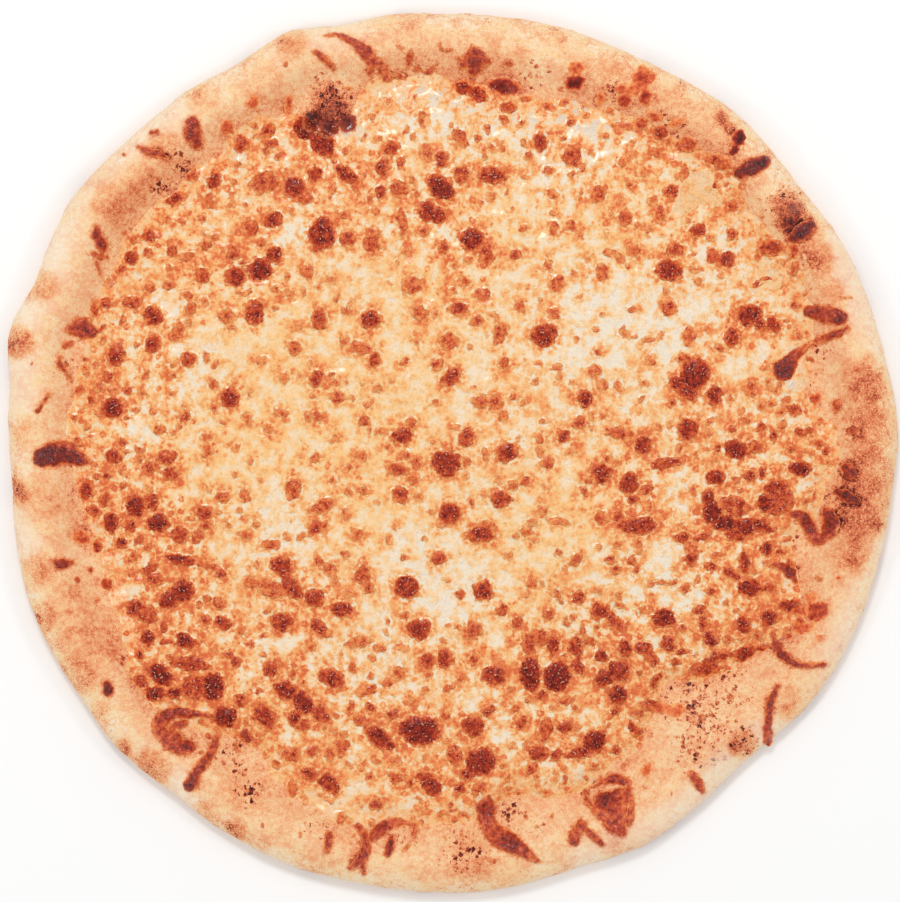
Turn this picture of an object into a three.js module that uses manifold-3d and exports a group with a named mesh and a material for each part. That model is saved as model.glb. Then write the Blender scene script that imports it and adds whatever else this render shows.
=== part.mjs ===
// A round cheese pizza, about 318 mm across: a dough disc with a puffed rim, one sheet of melted
// cheese whose browned blisters stand up as low domes, and the browned flakes and shreds of cheese
// that lie loose on the rim. Millimetres, +Z up. The origin is on the table under the middle of the
// outline, and +Y points at the side with the long curled shred.
import * as THREE from "three";
import { mergeVertices } from "three/addons/utils/BufferGeometryUtils.js";
import Module from "manifold-3d";

const wasm = await Module();
wasm.setup();

// Driving dimensions of the dough.
const HUB = { x: -0.99, y: 1.53 };   // the point that the rim and the cheese are measured round
const OUTLINE_RADIUS = 159;          // mean of the outline between its swells
const FLOOR_HEIGHT = 3.5;            // dough under the cheese
const NOSE_HEIGHT = 4.6;             // height of the widest line of the rim
const CREST_HEIGHT = 12;             // mean height of the rim
const FOOT_INSET = 8;                // from the outline in to where the base leaves the table
const CREST_INSET = 11;              // from the outline in to the crest
const SLOPE_FOOT_INSET = 27;         // from the outline in to the foot of the inner slope
const BUBBLE_MARGIN = 5;             // bubbles fade out over this width at the outline
const CREST_WAVES = [[3, 0.6, 0.8], [7, 2.1, 0.5]];   // waves of the crest: [count, phase, height]
const DOUGH_STEPS = 112;             // facets round the dough, a multiple of 8
const INNER_INSETS = [80, 130];      // rings of the flat middle, which halve the facets each time
const FOOT_TILTS = [30, 60];         // rings of the curve under the nose, in degrees
const NOSE_TILTS = [0, 20, 42, 65];  // rings of the curve from the nose to the crest, in degrees
const SLOPE_INSETS = [CREST_INSET, 14.5, 18, 21.5, 25, 29.5, 40];   // rings down the inner slope

// Driving dimensions of the cheese.
const CHEESE_RADIUS = 135.5;
const CHEESE_THICKNESS = 2.5;
const CHEESE_EDGE_THICKNESS = 0.9;
const CHEESE_EDGE_TAPER = 9;         // width of the thin border of the cheese
const CHEESE_WAVE = { height: 0.35, lengthX: 17, phaseX: 1.3, lengthY: 21, phaseY: -0.4 };
const CHEESE_RIPPLE = { height: 0.2, length: 11 };
const CHEESE_CELLS = 28;             // cells across the cheese, an even number
const CHEESE_SINK = 2;               // how far its block starts below the dough's floor
const BLISTER_RISE = 0.8;            // height of a blister, and how much wider ones add to it
const BLISTER_RISE_BY_WIDTH = 0.06;
const DOME_SEGMENTS = 8;
const DOME_RINGS = 4;

// Driving dimensions of what lies on the rim.
const TOUCH_GAP = 0.3;               // kept between pieces that lie on each other
const FLAKE_THICKNESS = 1.4;
const FLAKE_EDGE_THICKNESS = 0.7;
const FLAKE_STEP = 3.7;              // length of a flake's facets
const FLAKE_END_TAPER = 0.75;        // how far its ends draw in, and how suddenly
const FLAKE_END_POWER = 8;
const FLAKE_TIP = 0.6;               // how far the end point stands out
const FLAKE_ROOT = 1.5;              // depth of the block that is cut off to fit
const CRUMB_RISE = 1.1;
const DOME_SINK = 0.2;               // how far a dome's rim sinks in, so that no edge hangs
const FACET_TOLERANCE = 0.035;       // flatter facets than this are joined
const POINT_TOLERANCE = 1e-4;

// Swells and dents of the outline: [angle in degrees, height, half-width in degrees].
const OUTLINE_SWELLS = [
  [3, 1.4, 6], [38, -2.5, 8], [64, -3.4, 13], [88, -3.2, 14], [104, -1.6, 5], [111.5, 1.6, 4],
  [119, -1.6, 5], [147, 3.2, 9], [165, 4, 5], [184, -1.6, 7], [203, 1.4, 9], [221, 1.4, 5],
  [232, -0.7, 3], [248, 0.8, 7], [287, -2.2, 7], [301, -0.8, 4], [312.5, -5.1, 10],
];

// Tongues and bays of the cheese's border, in the same terms.
const CHEESE_SWELLS = [
  [0, 4.5, 5], [10, -4.5, 4], [28, 5.5, 9], [47, 7, 8], [60, 2, 5], [80, -5, 10], [109, -11, 5],
  [121, 2.5, 5], [147, 4, 12], [178, 2.5, 8], [197, -3, 8], [218, 7, 6], [236, -7, 5],
  [253, 5, 7], [280, -8, 5], [295, -5, 8], [312, -19, 9], [335, 3.5, 5], [345, -7, 4],
];

// Air bubbles in the dough: [x, y, radius, height].
const DOUGH_BUBBLES = [
  [90, -98, 21, 4.2], [-43.2, 124.9, 11, 4.6], [120.2, 86.2, 10, 3], [148, -2, 15, 1.3],
  [-155, 39.6, 7, 1.6], [-147.4, 59.7, 7, 1.3], [-134.9, -79.4, 8, 1.2], [-107.7, -113.8, 8, 1.1],
  [-57, 146, 7, 1.4], [-118, 96, 11, 1.2], [141, -27, 10, 1.2], [7, -147, 11, 1],
];

// Browned blisters of the cheese: [x, y, length, width, turn in degrees].
const BLISTERS = [
  [-56.8, 95.1, 9, 8, 0], [-69.3, 65.4, 10, 9, 0], [14.2, 99.4, 11, 7, 0], [-4, 95, 13, 8, -35],
  [-46, 78, 13, 10, 70], [7, 76.5, 10, 8, 0], [77.6, 65.4, 10, 8, 0], [114, 72.5, 10, 8, 0],
  [-107.3, 48.9, 8, 8, 0], [-71.1, 50, 9, 7, 90], [-120.6, 34.6, 9, 7, 70], [-121.6, 15.9, 9, 7, 0],
  [-79.7, 19.5, 8, 8, 0], [-102, -3.5, 11, 8, -60], [-113.8, -19.2, 9, 7, 100],
  [-97.6, -38.2, 12, 6, -10], [-97, -49.6, 11, 9, 30], [-61, -43, 13, 10, -50],
  [-29.6, 47.5, 8, 8, 0], [32.8, 42.1, 11, 9, 25], [-0.5, 27.1, 9, 7, 45], [-18.1, 6.3, 9, 7, 0],
  [19.5, 0.2, 9, 8, 0], [-2.3, -3.8, 12, 11, 0], [52.8, -7.3, 9, 8, 0], [-1.3, -21.7, 9, 9, 0],
  [9.9, -29, 13, 7, 0], [-16.7, -48.2, 10, 9, -20], [10.9, -49.3, 8, 8, 0], [-32.4, -44, 9, 8, -60],
  [-40, -56.4, 11, 7, 0], [105.9, 48.6, 11, 9, 0], [86.5, 27.8, 14, 12, 70], [84, 8.4, 9, 9, 0],
  [101.6, 1.3, 10, 8, 0], [92, -19, 10, 8, 100], [101, -27, 13, 8, 0], [66, -26, 15, 7, 0],
  [63.2, -11.5, 9, 7, 90], [106.2, -48.2, 9, 8, 0], [-104.8, -79.4, 12, 8, -30],
  [-86.2, -83.7, 11, 9, 90], [-81.2, -94.4, 9, 8, 60], [-95.5, -67.2, 11, 6, -25],
  [-61.1, -60.7, 9, 8, 0], [-59.7, -85.1, 10, 8, -20], [-67, -93, 12, 9, -40],
  [-12, -62.9, 10, 8, 0], [14.5, -79.7, 9, 8, 0], [27.4, -79.4, 13, 9, 80], [37.1, -80.1, 12, 11, 0],
  [-43.5, -80.8, 11, 8, -25], [-53, -90, 11, 9, -30], [-12, -99.4, 17, 11, 0],
  [-26.3, -102.3, 11, 8, -35], [7.3, -98, 10, 8, 0], [10.2, -111.6, 13, 12, 30],
  [-7.7, -118.8, 10, 9, -40], [-44.3, -118.1, 11, 9, -30], [30.3, -108, 9, 8, 0],
  [50.3, -103.7, 10, 9, 0], [75.4, -59.3, 9, 8, 0], [104.4, -72.2, 9, 7, 20],
  [90.8, -77.2, 13, 6, 0], [59.3, -77.9, 9, 9, 0],
];

// Browned cheese lying on the rim: each piece's strands, and each strand's middle line as
// [x, y, width].
const FLAKES = {
  curled_shred_top: [
    [[-46.4, 148.9, 1.8], [-41, 149, 2.4], [-35.4, 146.4, 3.6], [-31, 142.4, 5.2], [-28.6, 139, 4.6]],
    [[-28.6, 140, 3.4], [-25.8, 138.2, 4.4], [-23.8, 135.2, 5.2]],
  ],
  short_shred_top: [[[-49, 142.9, 2.4], [-45.4, 140, 3], [-42.6, 137.3, 2]]],
  diamond_flake_top: [
    [[7, 144.4, 3], [8, 140.2, 8.4], [7.6, 136, 3.4]],
    [[3.2, 138.6, 2.6], [8.2, 140, 6], [12.8, 139.9, 2]],
  ],
  oval_flake_top_right: [[[102.4, 99.8, 4.5], [107, 101.9, 7], [111.2, 104, 5]]],
  bead_flake_right: [[[121.6, 76.6, 4.4], [124.5, 78.8, 6], [127.6, 81, 4.4]]],
  bar_flake_right: [[[127.6, 50.8, 5.4], [132.8, 49.5, 6.6], [138.2, 48.1, 6]]],
  long_shred_right: [
    [[140.8, 44.8, 2.6], [136.6, 42.6, 3], [131.8, 40.6, 2.8], [126.2, 37.8, 3.4], [121.8, 34, 5],
      [118.6, 29.8, 8.4]],
  ],
  bead_flake_east: [[[140.6, -5.8, 4.6], [142, -7.4, 4.6]]],
  oval_flake_east: [[[137, -13.8, 2.8], [140.6, -15.5, 4.8], [143.8, -17, 3.2]]],
  forked_flake_east: [
    [[121.6, -21.9, 2.8], [125, -22.8, 4.8], [127.8, -26.6, 5], [129.8, -31, 4.6]],
    [[134, -21.2, 4.2], [135.2, -24.8, 6.6], [133.8, -28.8, 5.4], [130.8, -31.6, 4.2]],
  ],
  leaf_flake_east: [[[114.2, -39.8, 2], [118.4, -41.4, 4], [121.2, -43.2, 4.8], [122.6, -45.6, 2.4]]],
  bent_shred_east: [
    [[115, -66.4, 2.4], [115.9, -69.2, 3.2], [118.2, -72.6, 3.8], [122, -75.2, 3], [127, -76, 2.6],
      [133, -75.7, 2.4]],
  ],
  edge_shred_south_east: [
    [[115.8, -83.6, 2.2], [113.6, -88.4, 2.8], [112.6, -94, 3], [112.6, -99, 3.6],
      [112.8, -102.8, 3.8]],
  ],
  drop_flake_south_east: [[[84.9, -114.4, 2.8], [87.2, -117.5, 4.2], [89.4, -120.8, 3.2]]],
  broad_flake_south: [
    [[61.6, -119.4, 4], [57.6, -124, 7.4], [56.6, -128.2, 10.2], [58.6, -132, 9.2], [60.2, -135.2, 5]],
    [[49.2, -119.8, 1.8], [53.6, -118, 2.6], [58.4, -116.9, 4], [62.4, -118.2, 3.6]],
    [[62.2, -118.2, 3.2], [63, -123.6, 3.2], [63, -128, 3.4], [61.8, -131.6, 4]],
    [[47.6, -121, 1.8], [47.9, -124.4, 2.2], [50.4, -127.6, 2.6], [53.4, -129, 3]],
  ],
  blot_flake_south: [[[45.7, -132.6, 4.4], [44, -135.6, 5], [43.2, -138.2, 4.4]]],
  sliver_flake_south: [[[48.6, -135.6, 2.6], [50.8, -137.4, 3.2], [53, -139.6, 2.4]]],
  tapered_flake_south: [
    [[12, -126.4, 7.6], [11.9, -130, 7.4], [13, -134, 7], [17, -138, 8.2], [21.6, -140.4, 7.4],
      [26, -143, 4.8], [30.2, -145.9, 2.4]],
    [[12.8, -123.6, 2.4], [12.6, -127.4, 2.8]],
  ],
  sliver_flake_south_west: [[[-22, -137.8, 2.4], [-22.5, -140.8, 3], [-23.2, -143.2, 2.4]]],
  branched_flake_south_west: [
    [[-19, -132, 3.4], [-23.4, -133, 5], [-27, -135.6, 4.8], [-30, -138.4, 3.4]],
    [[-33.8, -133.4, 2.4], [-31.8, -136, 3.2], [-31, -140, 4.2], [-32.4, -144.2, 4],
      [-36.4, -148, 2.2]],
    [[-32.2, -144, 3], [-31.9, -149.6, 2.4]],
    [[-20, -131.8, 2.2], [-16.6, -132.4, 2], [-13.8, -134, 3], [-13.8, -136.4, 2.6]],
  ],
  drop_flake_south_west: [[[-44, -136.2, 3], [-44.4, -139, 3.4], [-44.9, -142, 2.6]]],
  club_shred_south_west: [
    [[-84, -100.6, 2.2], [-85.4, -104.6, 3], [-87.4, -109, 3.8], [-91, -113.8, 4], [-93.8, -118.6, 5.4]],
  ],
  hooked_flake_south_west: [
    [[-86.4, -94.2, 2.2], [-90.4, -94, 2.8], [-95, -93.8, 4.2], [-99.8, -93.2, 4.4],
      [-103.6, -95.2, 5.4], [-104.6, -98.6, 6], [-102.2, -102, 6.4], [-98.4, -104.6, 6.4],
      [-94.4, -105.4, 5.4]],
    [[-96.4, -97.6, 2.8], [-100, -98.8, 5], [-99, -102.6, 5]],
  ],
  bead_flake_south_west: [[[-123.3, -82.6, 4], [-122.9, -85.2, 4.2]]],
  wing_flake_west: [[[-142.6, -38.8, 2], [-139.4, -39.8, 4.4], [-136.2, -39.3, 2.6]]],
  great_flake_west: [
    [[-147, -1.9, 7], [-143.4, -0.6, 9.6], [-138.8, 0, 10], [-134.4, -2, 6.8], [-131, -3.6, 3]],
    [[-139, 2.6, 4], [-133, 2.5, 3]],
  ],
  thin_shred_west: [[[-147.8, 15.4, 2.8], [-146, 18, 2.2], [-144.4, 20.6, 2.2]]],
  crooked_shred_west: [[[-140.7, 34.2, 1.8], [-140.2, 31, 2.2], [-137.8, 28.4, 1.8], [-136.9, 26, 1.6]]],
  ragged_flake_west: [
    [[-136.6, 44, 4.6], [-132.8, 44.6, 8], [-129.6, 43.4, 5.6]],
    [[-134.8, 46.2, 3.6], [-130.2, 47.2, 3.2]],
  ],
  leaf_shred_north_west: [[[-127.4, 80.4, 2], [-126.6, 77.4, 4.2], [-125.2, 74.2, 4.2], [-125, 71.8, 2.4]]],
  bowed_shred_north_west: [[[-112, 109, 2], [-108.6, 107.4, 3], [-105, 106.6, 3.2], [-101.8, 105.4, 1.8]]],
  patch_flake_north_west: [[[-93, 117.4, 5.8], [-92.6, 114, 7], [-91.6, 110.8, 5.6]]],
};

// Crumbs of cheese baked on to the rim: [x, y, width].
const CRUMBS = [
  [-106.7, 114.4, 3], [-129.9, -42.1, 2.4], [-126.9, 69.2, 3.4], [-138.6, 36.2, 3], [-40, -144, 2.2],
  [143, 7.4, 4], [137.4, 16.7, 3.6], [-14.9, 141.4, 4], [19.9, 139.2, 3], [-8.3, 140, 3.4],
];

const COLOURS = {
  dough: new THREE.MeshStandardMaterial({ color: 0xeac192, roughness: 0.85, metalness: 0 }),
  cheese: new THREE.MeshStandardMaterial({ color: 0xf2cf95, roughness: 0.35, metalness: 0 }),
  flake: new THREE.MeshStandardMaterial({ color: 0xa0492a, roughness: 0.5, metalness: 0 }),
};

// Sum of bell-shaped swells at an angle, each counted the short way round.
function swell(swells, angle) {
  let sum = 0;
  for (const [centre, height, spread] of swells) {
    const away = (((angle - centre) % 360) + 540) % 360 - 180;
    sum += height * Math.exp(-((away / spread) ** 2));
  }
  return sum;
}

function outlineRadius(angle) {
  return OUTLINE_RADIUS + swell(OUTLINE_SWELLS, angle);
}

function cheeseRadius(angle) {
  return CHEESE_RADIUS + swell(CHEESE_SWELLS, angle);
}

// The crest rises and falls a little round the pizza.
function crestHeight(angle) {
  const turn = THREE.MathUtils.degToRad(angle);
  let height = CREST_HEIGHT;
  for (const [count, phase, rise] of CREST_WAVES) height += rise * Math.sin(count * turn + phase);
  return height;
}

function bubbleRise(x, y) {
  let rise = 0;
  for (const [cx, cy, radius, height] of DOUGH_BUBBLES) {
    const reach = 1 - ((x - cx) ** 2 + (y - cy) ** 2) / radius ** 2;
    if (reach > 0) rise += height * reach ** 2;
  }
  return rise;
}

function polar(x, y) {
  const angle = (THREE.MathUtils.radToDeg(Math.atan2(y - HUB.y, x - HUB.x)) + 360) % 360;
  return { angle, radius: Math.hypot(x - HUB.x, y - HUB.y) };
}

function atPolar(angle, radius) {
  const turn = THREE.MathUtils.degToRad(angle);
  return [HUB.x + radius * Math.cos(turn), HUB.y + radius * Math.sin(turn)];
}

// Top of the dough: a quarter ellipse from the nose to the crest, a cosine slope down to the floor.
function doughTop(x, y) {
  const { angle, radius } = polar(x, y);
  const inset = Math.max(0, outlineRadius(angle) - radius);
  const crest = crestHeight(angle);
  let height = FLOOR_HEIGHT;
  if (inset < CREST_INSET) {
    height = NOSE_HEIGHT + (crest - NOSE_HEIGHT) * Math.sqrt(1 - (1 - inset / CREST_INSET) ** 2);
  } else if (inset < SLOPE_FOOT_INSET) {
    const along = (inset - CREST_INSET) / (SLOPE_FOOT_INSET - CREST_INSET);
    height += (crest - FLOOR_HEIGHT) * 0.5 * (1 + Math.cos(Math.PI * along));
  }
  const edge = THREE.MathUtils.smoothstep(inset, 0, BUBBLE_MARGIN);
  return height + edge * bubbleRise(x, y);
}

// The cheese lies on the dough, thin at its border and gently uneven inside it.
function cheeseTop(x, y) {
  const { angle, radius } = polar(x, y);
  const inside = THREE.MathUtils.smoothstep(cheeseRadius(angle) - radius, 0, CHEESE_EDGE_TAPER);
  const { height, lengthX, phaseX, lengthY, phaseY } = CHEESE_WAVE;
  const wave = height * Math.sin(x / lengthX + phaseX) * Math.cos(y / lengthY + phaseY);
  const ripple = CHEESE_RIPPLE.height * Math.sin((x - y) / CHEESE_RIPPLE.length);
  const full = CHEESE_THICKNESS - CHEESE_EDGE_THICKNESS + wave + ripple;
  return doughTop(x, y) + TOUCH_GAP + CHEESE_EDGE_THICKNESS + inside * full;
}

// A closed skin from rings of points, with a fan at each end. A ring has as many points as the
// one before it, or twice or half as many.
function closedSkin(firstCentre, rings, lastCentre) {
  const points = [firstCentre, ...rings.flat(), lastCentre];
  const faces = [];
  let start = 1;
  const first = rings[0].length;
  for (let i = 0; i < first; i += 1) {
    faces.push(0, start + ((i + 1) % first), start + i);
  }
  for (let k = 1; k < rings.length; k += 1) {
    const before = rings[k - 1].length;
    const after = rings[k].length;
    const next = start + before;
    const steps = Math.min(before, after);
    for (let i = 0; i < steps; i += 1) {
      const a = start + (i * before) / steps;
      const b = start + (((i + 1) * before) / steps) % before;
      const c = next + (i * after) / steps;
      const d = next + (((i + 1) * after) / steps) % after;
      if (before > after) {
        faces.push(a, a + 1, c, a + 1, b, d, a + 1, d, c);
      } else if (after > before) {
        faces.push(a, c + 1, c, a, b, c + 1, b, d, c + 1);
      } else {
        faces.push(a, b, d, a, d, c);
      }
    }
    start = next;
  }
  const last = rings[rings.length - 1].length;
  for (let i = 0; i < last; i += 1) {
    faces.push(start + last, start + i, start + ((i + 1) % last));
  }
  const geometry = new THREE.BufferGeometry();
  geometry.setAttribute("position", new THREE.Float32BufferAttribute(points.flat(), 3));
  geometry.setIndex(faces);
  return geometry;
}

function toSolid(geometry) {
  const bare = geometry.clone();
  bare.deleteAttribute("normal");
  bare.deleteAttribute("uv");
  const merged = mergeVertices(bare, POINT_TOLERANCE);
  const vertProperties = new Float32Array(merged.attributes.position.array);
  const triVerts = new Uint32Array(merged.index.array);
  return new wasm.Manifold(new wasm.Mesh({ numProp: 3, vertProperties, triVerts }));
}

function toGeometry(solid) {
  const mesh = solid.getMesh();
  const geometry = new THREE.BufferGeometry();
  geometry.setAttribute("position", new THREE.Float32BufferAttribute(mesh.vertProperties, 3));
  geometry.setIndex(Array.from(mesh.triVerts));
  geometry.computeVertexNormals();
  return geometry;
}

// The largest body of a solid, so that loose scraps left by a cut are dropped.
function largestBody(solid) {
  return solid.decompose().sort((a, b) => b.volume() - a.volume())[0];
}

// A piece laid on the dough: what would sink into it, or come nearer than the gap, is cut off.
function laidOn(solid, dough) {
  return solid.subtract(dough.translate([0, 0, TOUCH_GAP]));
}

function tidied(solid) {
  return largestBody(solid.simplify(FACET_TOLERANCE));
}

function doughRing(steps, inset, heightAt) {
  const ring = [];
  for (let i = 0; i < steps; i += 1) {
    const angle = (360 * i) / steps;
    const [x, y] = atPolar(angle, outlineRadius(angle) - inset);
    ring.push([x, y, heightAt(x, y)]);
  }
  return ring;
}

// Rings of the flat middle, each with half the facets of the one outside it.
function middleRings(heightAt) {
  return INNER_INSETS.map((inset, k) => doughRing(DOUGH_STEPS / 2 ** (k + 1), inset, heightAt));
}

function makeDough() {
  const rings = middleRings(() => 0).reverse();
  rings.push(doughRing(DOUGH_STEPS, FOOT_INSET, () => 0));
  for (const tilt of FOOT_TILTS) {
    const turn = THREE.MathUtils.degToRad(tilt);
    const height = NOSE_HEIGHT * (1 - Math.cos(turn));
    rings.push(doughRing(DOUGH_STEPS, FOOT_INSET * (1 - Math.sin(turn)), () => height));
  }
  for (const tilt of NOSE_TILTS) {
    const turn = THREE.MathUtils.degToRad(tilt);
    rings.push(doughRing(DOUGH_STEPS, CREST_INSET * (1 - Math.cos(turn)), doughTop));
  }
  for (const inset of SLOPE_INSETS) {
    rings.push(doughRing(DOUGH_STEPS, inset, doughTop));
  }
  rings.push(...middleRings(doughTop));
  const skin = closedSkin([HUB.x, HUB.y, 0], rings, [HUB.x, HUB.y, FLOOR_HEIGHT]);
  return toSolid(skin);
}

// A low dome, half sunk in what it stands on.
function dome(x, y, z, length, width, turn, height) {
  const ball = new THREE.SphereGeometry(1, DOME_SEGMENTS, DOME_RINGS);
  ball.rotateX(Math.PI / 2);
  ball.scale(length / 2, width / 2, height);
  ball.rotateZ(THREE.MathUtils.degToRad(turn));
  ball.translate(x, y, z);
  return toSolid(ball);
}

// The cheese on a square grid bent into its outline, closed by a wall down into the dough. It is
// grown outwards and upwards to make the room that a flake beside it leaves.
function cheeseBlock(cells, grow) {
  const points = [];
  const faces = [];
  const index = (i, j) => j * (cells + 1) + i;
  for (let j = 0; j <= cells; j += 1) {
    for (let i = 0; i <= cells; i += 1) {
      const u = (2 * i) / cells - 1;
      const v = (2 * j) / cells - 1;
      const ring = Math.max(Math.abs(u), Math.abs(v));
      let turn = 0;
      if (Math.abs(u) >= Math.abs(v) && ring > 0) turn = 45 * (v / u) + (u < 0 ? 180 : 0);
      else if (ring > 0) turn = 90 - 45 * (u / v) + (v < 0 ? 180 : 0);
      const [x, y] = atPolar(turn, ring * (cheeseRadius((turn + 360) % 360) + grow));
      points.push([x, y, cheeseTop(x, y) + grow]);
    }
  }
  for (let j = 0; j < cells; j += 1) {
    for (let i = 0; i < cells; i += 1) {
      const [a, b, c, d] = [index(i, j), index(i + 1, j), index(i + 1, j + 1), index(i, j + 1)];
      faces.push(a, b, c, a, c, d);
    }
  }
  const border = [];
  for (let i = 0; i < cells; i += 1) border.push(index(i, 0));
  for (let j = 0; j < cells; j += 1) border.push(index(cells, j));
  for (let i = cells; i > 0; i -= 1) border.push(index(i, cells));
  for (let j = cells; j > 0; j -= 1) border.push(index(0, j));
  const low = points.length;
  const sunk = FLOOR_HEIGHT - CHEESE_SINK;
  for (const k of border) points.push([points[k][0], points[k][1], sunk]);
  points.push([HUB.x, HUB.y, sunk]);
  for (let k = 0; k < border.length; k += 1) {
    const next = (k + 1) % border.length;
    faces.push(border[k], low + k, low + next, border[k], low + next, border[next]);
    faces.push(low + k, low + border.length, low + next);
  }
  const sheet = new THREE.BufferGeometry();
  sheet.setAttribute("position", new THREE.Float32BufferAttribute(points.flat(), 3));
  sheet.setIndex(faces);
  return toSolid(sheet);
}

function makeCheese(dough) {
  let cheese = cheeseBlock(CHEESE_CELLS, 0);
  for (const [x, y, length, width, turn] of BLISTERS) {
    const height = BLISTER_RISE + BLISTER_RISE_BY_WIDTH * width;
    cheese = cheese.add(dome(x, y, cheeseTop(x, y) - DOME_SINK, length, width, turn, height));
  }
  return tidied(laidOn(cheese, dough));
}

// What a flake lies on: the cheese inside its border, the dough outside it.
function layTop(x, y) {
  const { angle, radius } = polar(x, y);
  return radius < cheeseRadius(angle) ? cheeseTop(x, y) : doughTop(x, y);
}

// A strand: a ribbon along its middle line with rounded ends, crowned across, following what lies
// under it. It is made as a deep block, whose lower part is cut off later.
function makeStrand(line) {
  const curve = new THREE.CatmullRomCurve3(line.map(([x, y]) => new THREE.Vector3(x, y, 0)));
  const steps = Math.max(4, Math.round(curve.getLength() / FLAKE_STEP));
  const rings = [];
  for (let i = 0; i <= steps; i += 1) {
    const t = i / steps;
    const middle = curve.getPoint(t);
    const ahead = curve.getTangent(t);
    const place = t * (line.length - 1);
    const k = Math.min(line.length - 2, Math.floor(place));
    const width = THREE.MathUtils.lerp(line[k][2], line[k + 1][2], place - k);
    const end = FLAKE_END_TAPER * Math.abs(2 * t - 1) ** FLAKE_END_POWER;
    const side = 0.5 * width * Math.sqrt(1 - end);
    const at = (v, rise) => {
      const x = middle.x - ahead.y * side * v;
      const y = middle.y + ahead.x * side * v;
      return [x, y, layTop(x, y) + TOUCH_GAP + rise];
    };
    const [low, high] = [FLAKE_EDGE_THICKNESS, FLAKE_THICKNESS];
    rings.push([at(1, low), at(0, high), at(-1, low), at(-1, -FLAKE_ROOT), at(1, -FLAKE_ROOT)]);
  }
  const tip = (p, out) => [p.x + out.x, p.y + out.y, layTop(p.x, p.y) - 0.5 * FLAKE_ROOT];
  const before = curve.getTangent(0).multiplyScalar(-FLAKE_TIP);
  const after = curve.getTangent(1).multiplyScalar(FLAKE_TIP);
  return toSolid(closedSkin(tip(curve.getPoint(0), before), rings, tip(curve.getPoint(1), after)));
}

// A flake: its strands in one, with the lower part that the dough and the cheese cut off.
function makeFlake(strands, dough, cheeseRoom) {
  const blocks = strands.map(makeStrand);
  const whole = blocks.reduce((sum, block) => sum.add(block));
  return tidied(laidOn(whole, dough).subtract(cheeseRoom));
}

const group = new THREE.Group();

function addPiece(name, solid, material) {
  const mesh = new THREE.Mesh(toGeometry(solid), material);
  mesh.name = name;
  group.add(mesh);
}

const plainDough = makeDough();
let crust = plainDough;
for (const [x, y, width] of CRUMBS) {
  crust = crust.add(dome(x, y, doughTop(x, y) - DOME_SINK, width, width, 0, CRUMB_RISE));
}
const cheese = makeCheese(plainDough);
const cheeseRoom = cheeseBlock(CHEESE_CELLS, TOUCH_GAP).add(cheese.translate([0, 0, TOUCH_GAP]));
addPiece("crust", tidied(crust), COLOURS.dough);
addPiece("cheese", cheese, COLOURS.cheese);
for (const [name, strands] of Object.entries(FLAKES)) {
  addPiece(name, makeFlake(strands, plainDough, cheeseRoom), COLOURS.flake);
}

export default group;
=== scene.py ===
import bpy
import numpy as np
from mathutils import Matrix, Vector


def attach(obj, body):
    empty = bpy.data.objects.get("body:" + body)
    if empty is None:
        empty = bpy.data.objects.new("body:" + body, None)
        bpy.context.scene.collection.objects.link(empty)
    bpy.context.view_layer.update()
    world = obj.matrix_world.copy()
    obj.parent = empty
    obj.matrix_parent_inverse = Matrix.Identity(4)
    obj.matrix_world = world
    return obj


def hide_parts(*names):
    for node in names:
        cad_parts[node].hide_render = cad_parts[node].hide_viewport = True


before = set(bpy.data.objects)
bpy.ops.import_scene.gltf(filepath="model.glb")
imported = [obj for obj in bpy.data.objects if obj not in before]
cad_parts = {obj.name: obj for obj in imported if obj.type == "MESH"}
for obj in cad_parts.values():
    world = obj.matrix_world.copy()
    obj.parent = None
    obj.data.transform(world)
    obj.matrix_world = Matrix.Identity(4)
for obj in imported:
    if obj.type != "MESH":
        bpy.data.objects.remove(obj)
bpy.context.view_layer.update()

# A round cheese pizza. Shapes are worked out in millimetres and put into the meshes in metres.
MM = 0.001

# ---------------------------------------------------------------- sizes

HUB_X, HUB_Y = -0.99, 1.53        # the point that the rim and the cheese are measured round
OUTLINE_RADIUS = 159.0
FLOOR_HEIGHT = 3.5                # top of the dough under the cheese
NOSE_HEIGHT = 4.6                 # where the side of the rim is widest
CREST_HEIGHT = 12.0
FOOT_INSET = 8.0                  # insets are measured inwards from the outline
CREST_INSET = 11.0
SLOPE_FOOT_INSET = 27.0
CHEESE_RADIUS = 135.5
CHEESE_THICKNESS = 2.5
CHEESE_EDGE_TAPER = 9.0           # width over which the cheese thickens from its border
FLAKE_THICKNESS = 1.4
FLAKE_CELL = 0.34                 # cells of the square grids that flakes and crumbs are made on
CRUMB_THICKNESS = 0.9
CRUMB_CELL = 0.3

# Swells and dents of the outline: angle in degrees, height, spread in degrees.
OUTLINE_SWELLS = [
    (3, 1.4, 6), (38, -2.5, 8), (64, -3.4, 13), (88, -3.2, 14), (104, -1.6, 5), (111.5, 1.6, 4),
    (119, -1.6, 5), (147, 3.2, 9), (165, 4, 5), (184, -1.6, 7), (203, 1.4, 9), (221, 1.4, 5),
    (232, -0.7, 3), (248, 0.8, 7), (287, -2.2, 7), (301, -0.8, 4), (312.5, -5.1, 10),
]

# Tongues and bays of the cheese's border, in the same terms.
CHEESE_SWELLS = [
    (0, 4.5, 5), (10, -4.5, 4), (28, 5.5, 9), (47, 7, 8), (60, 2, 5), (80, -5, 10), (109, -11, 5),
    (121, 2.5, 5), (147, 4, 12), (178, 2.5, 8), (197, -3, 8), (218, 7, 6), (236, -7, 5), (253, 5, 7),
    (280, -8, 5), (295, -5, 8), (312, -19, 9), (335, 3.5, 5), (345, -7, 4),
]

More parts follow.
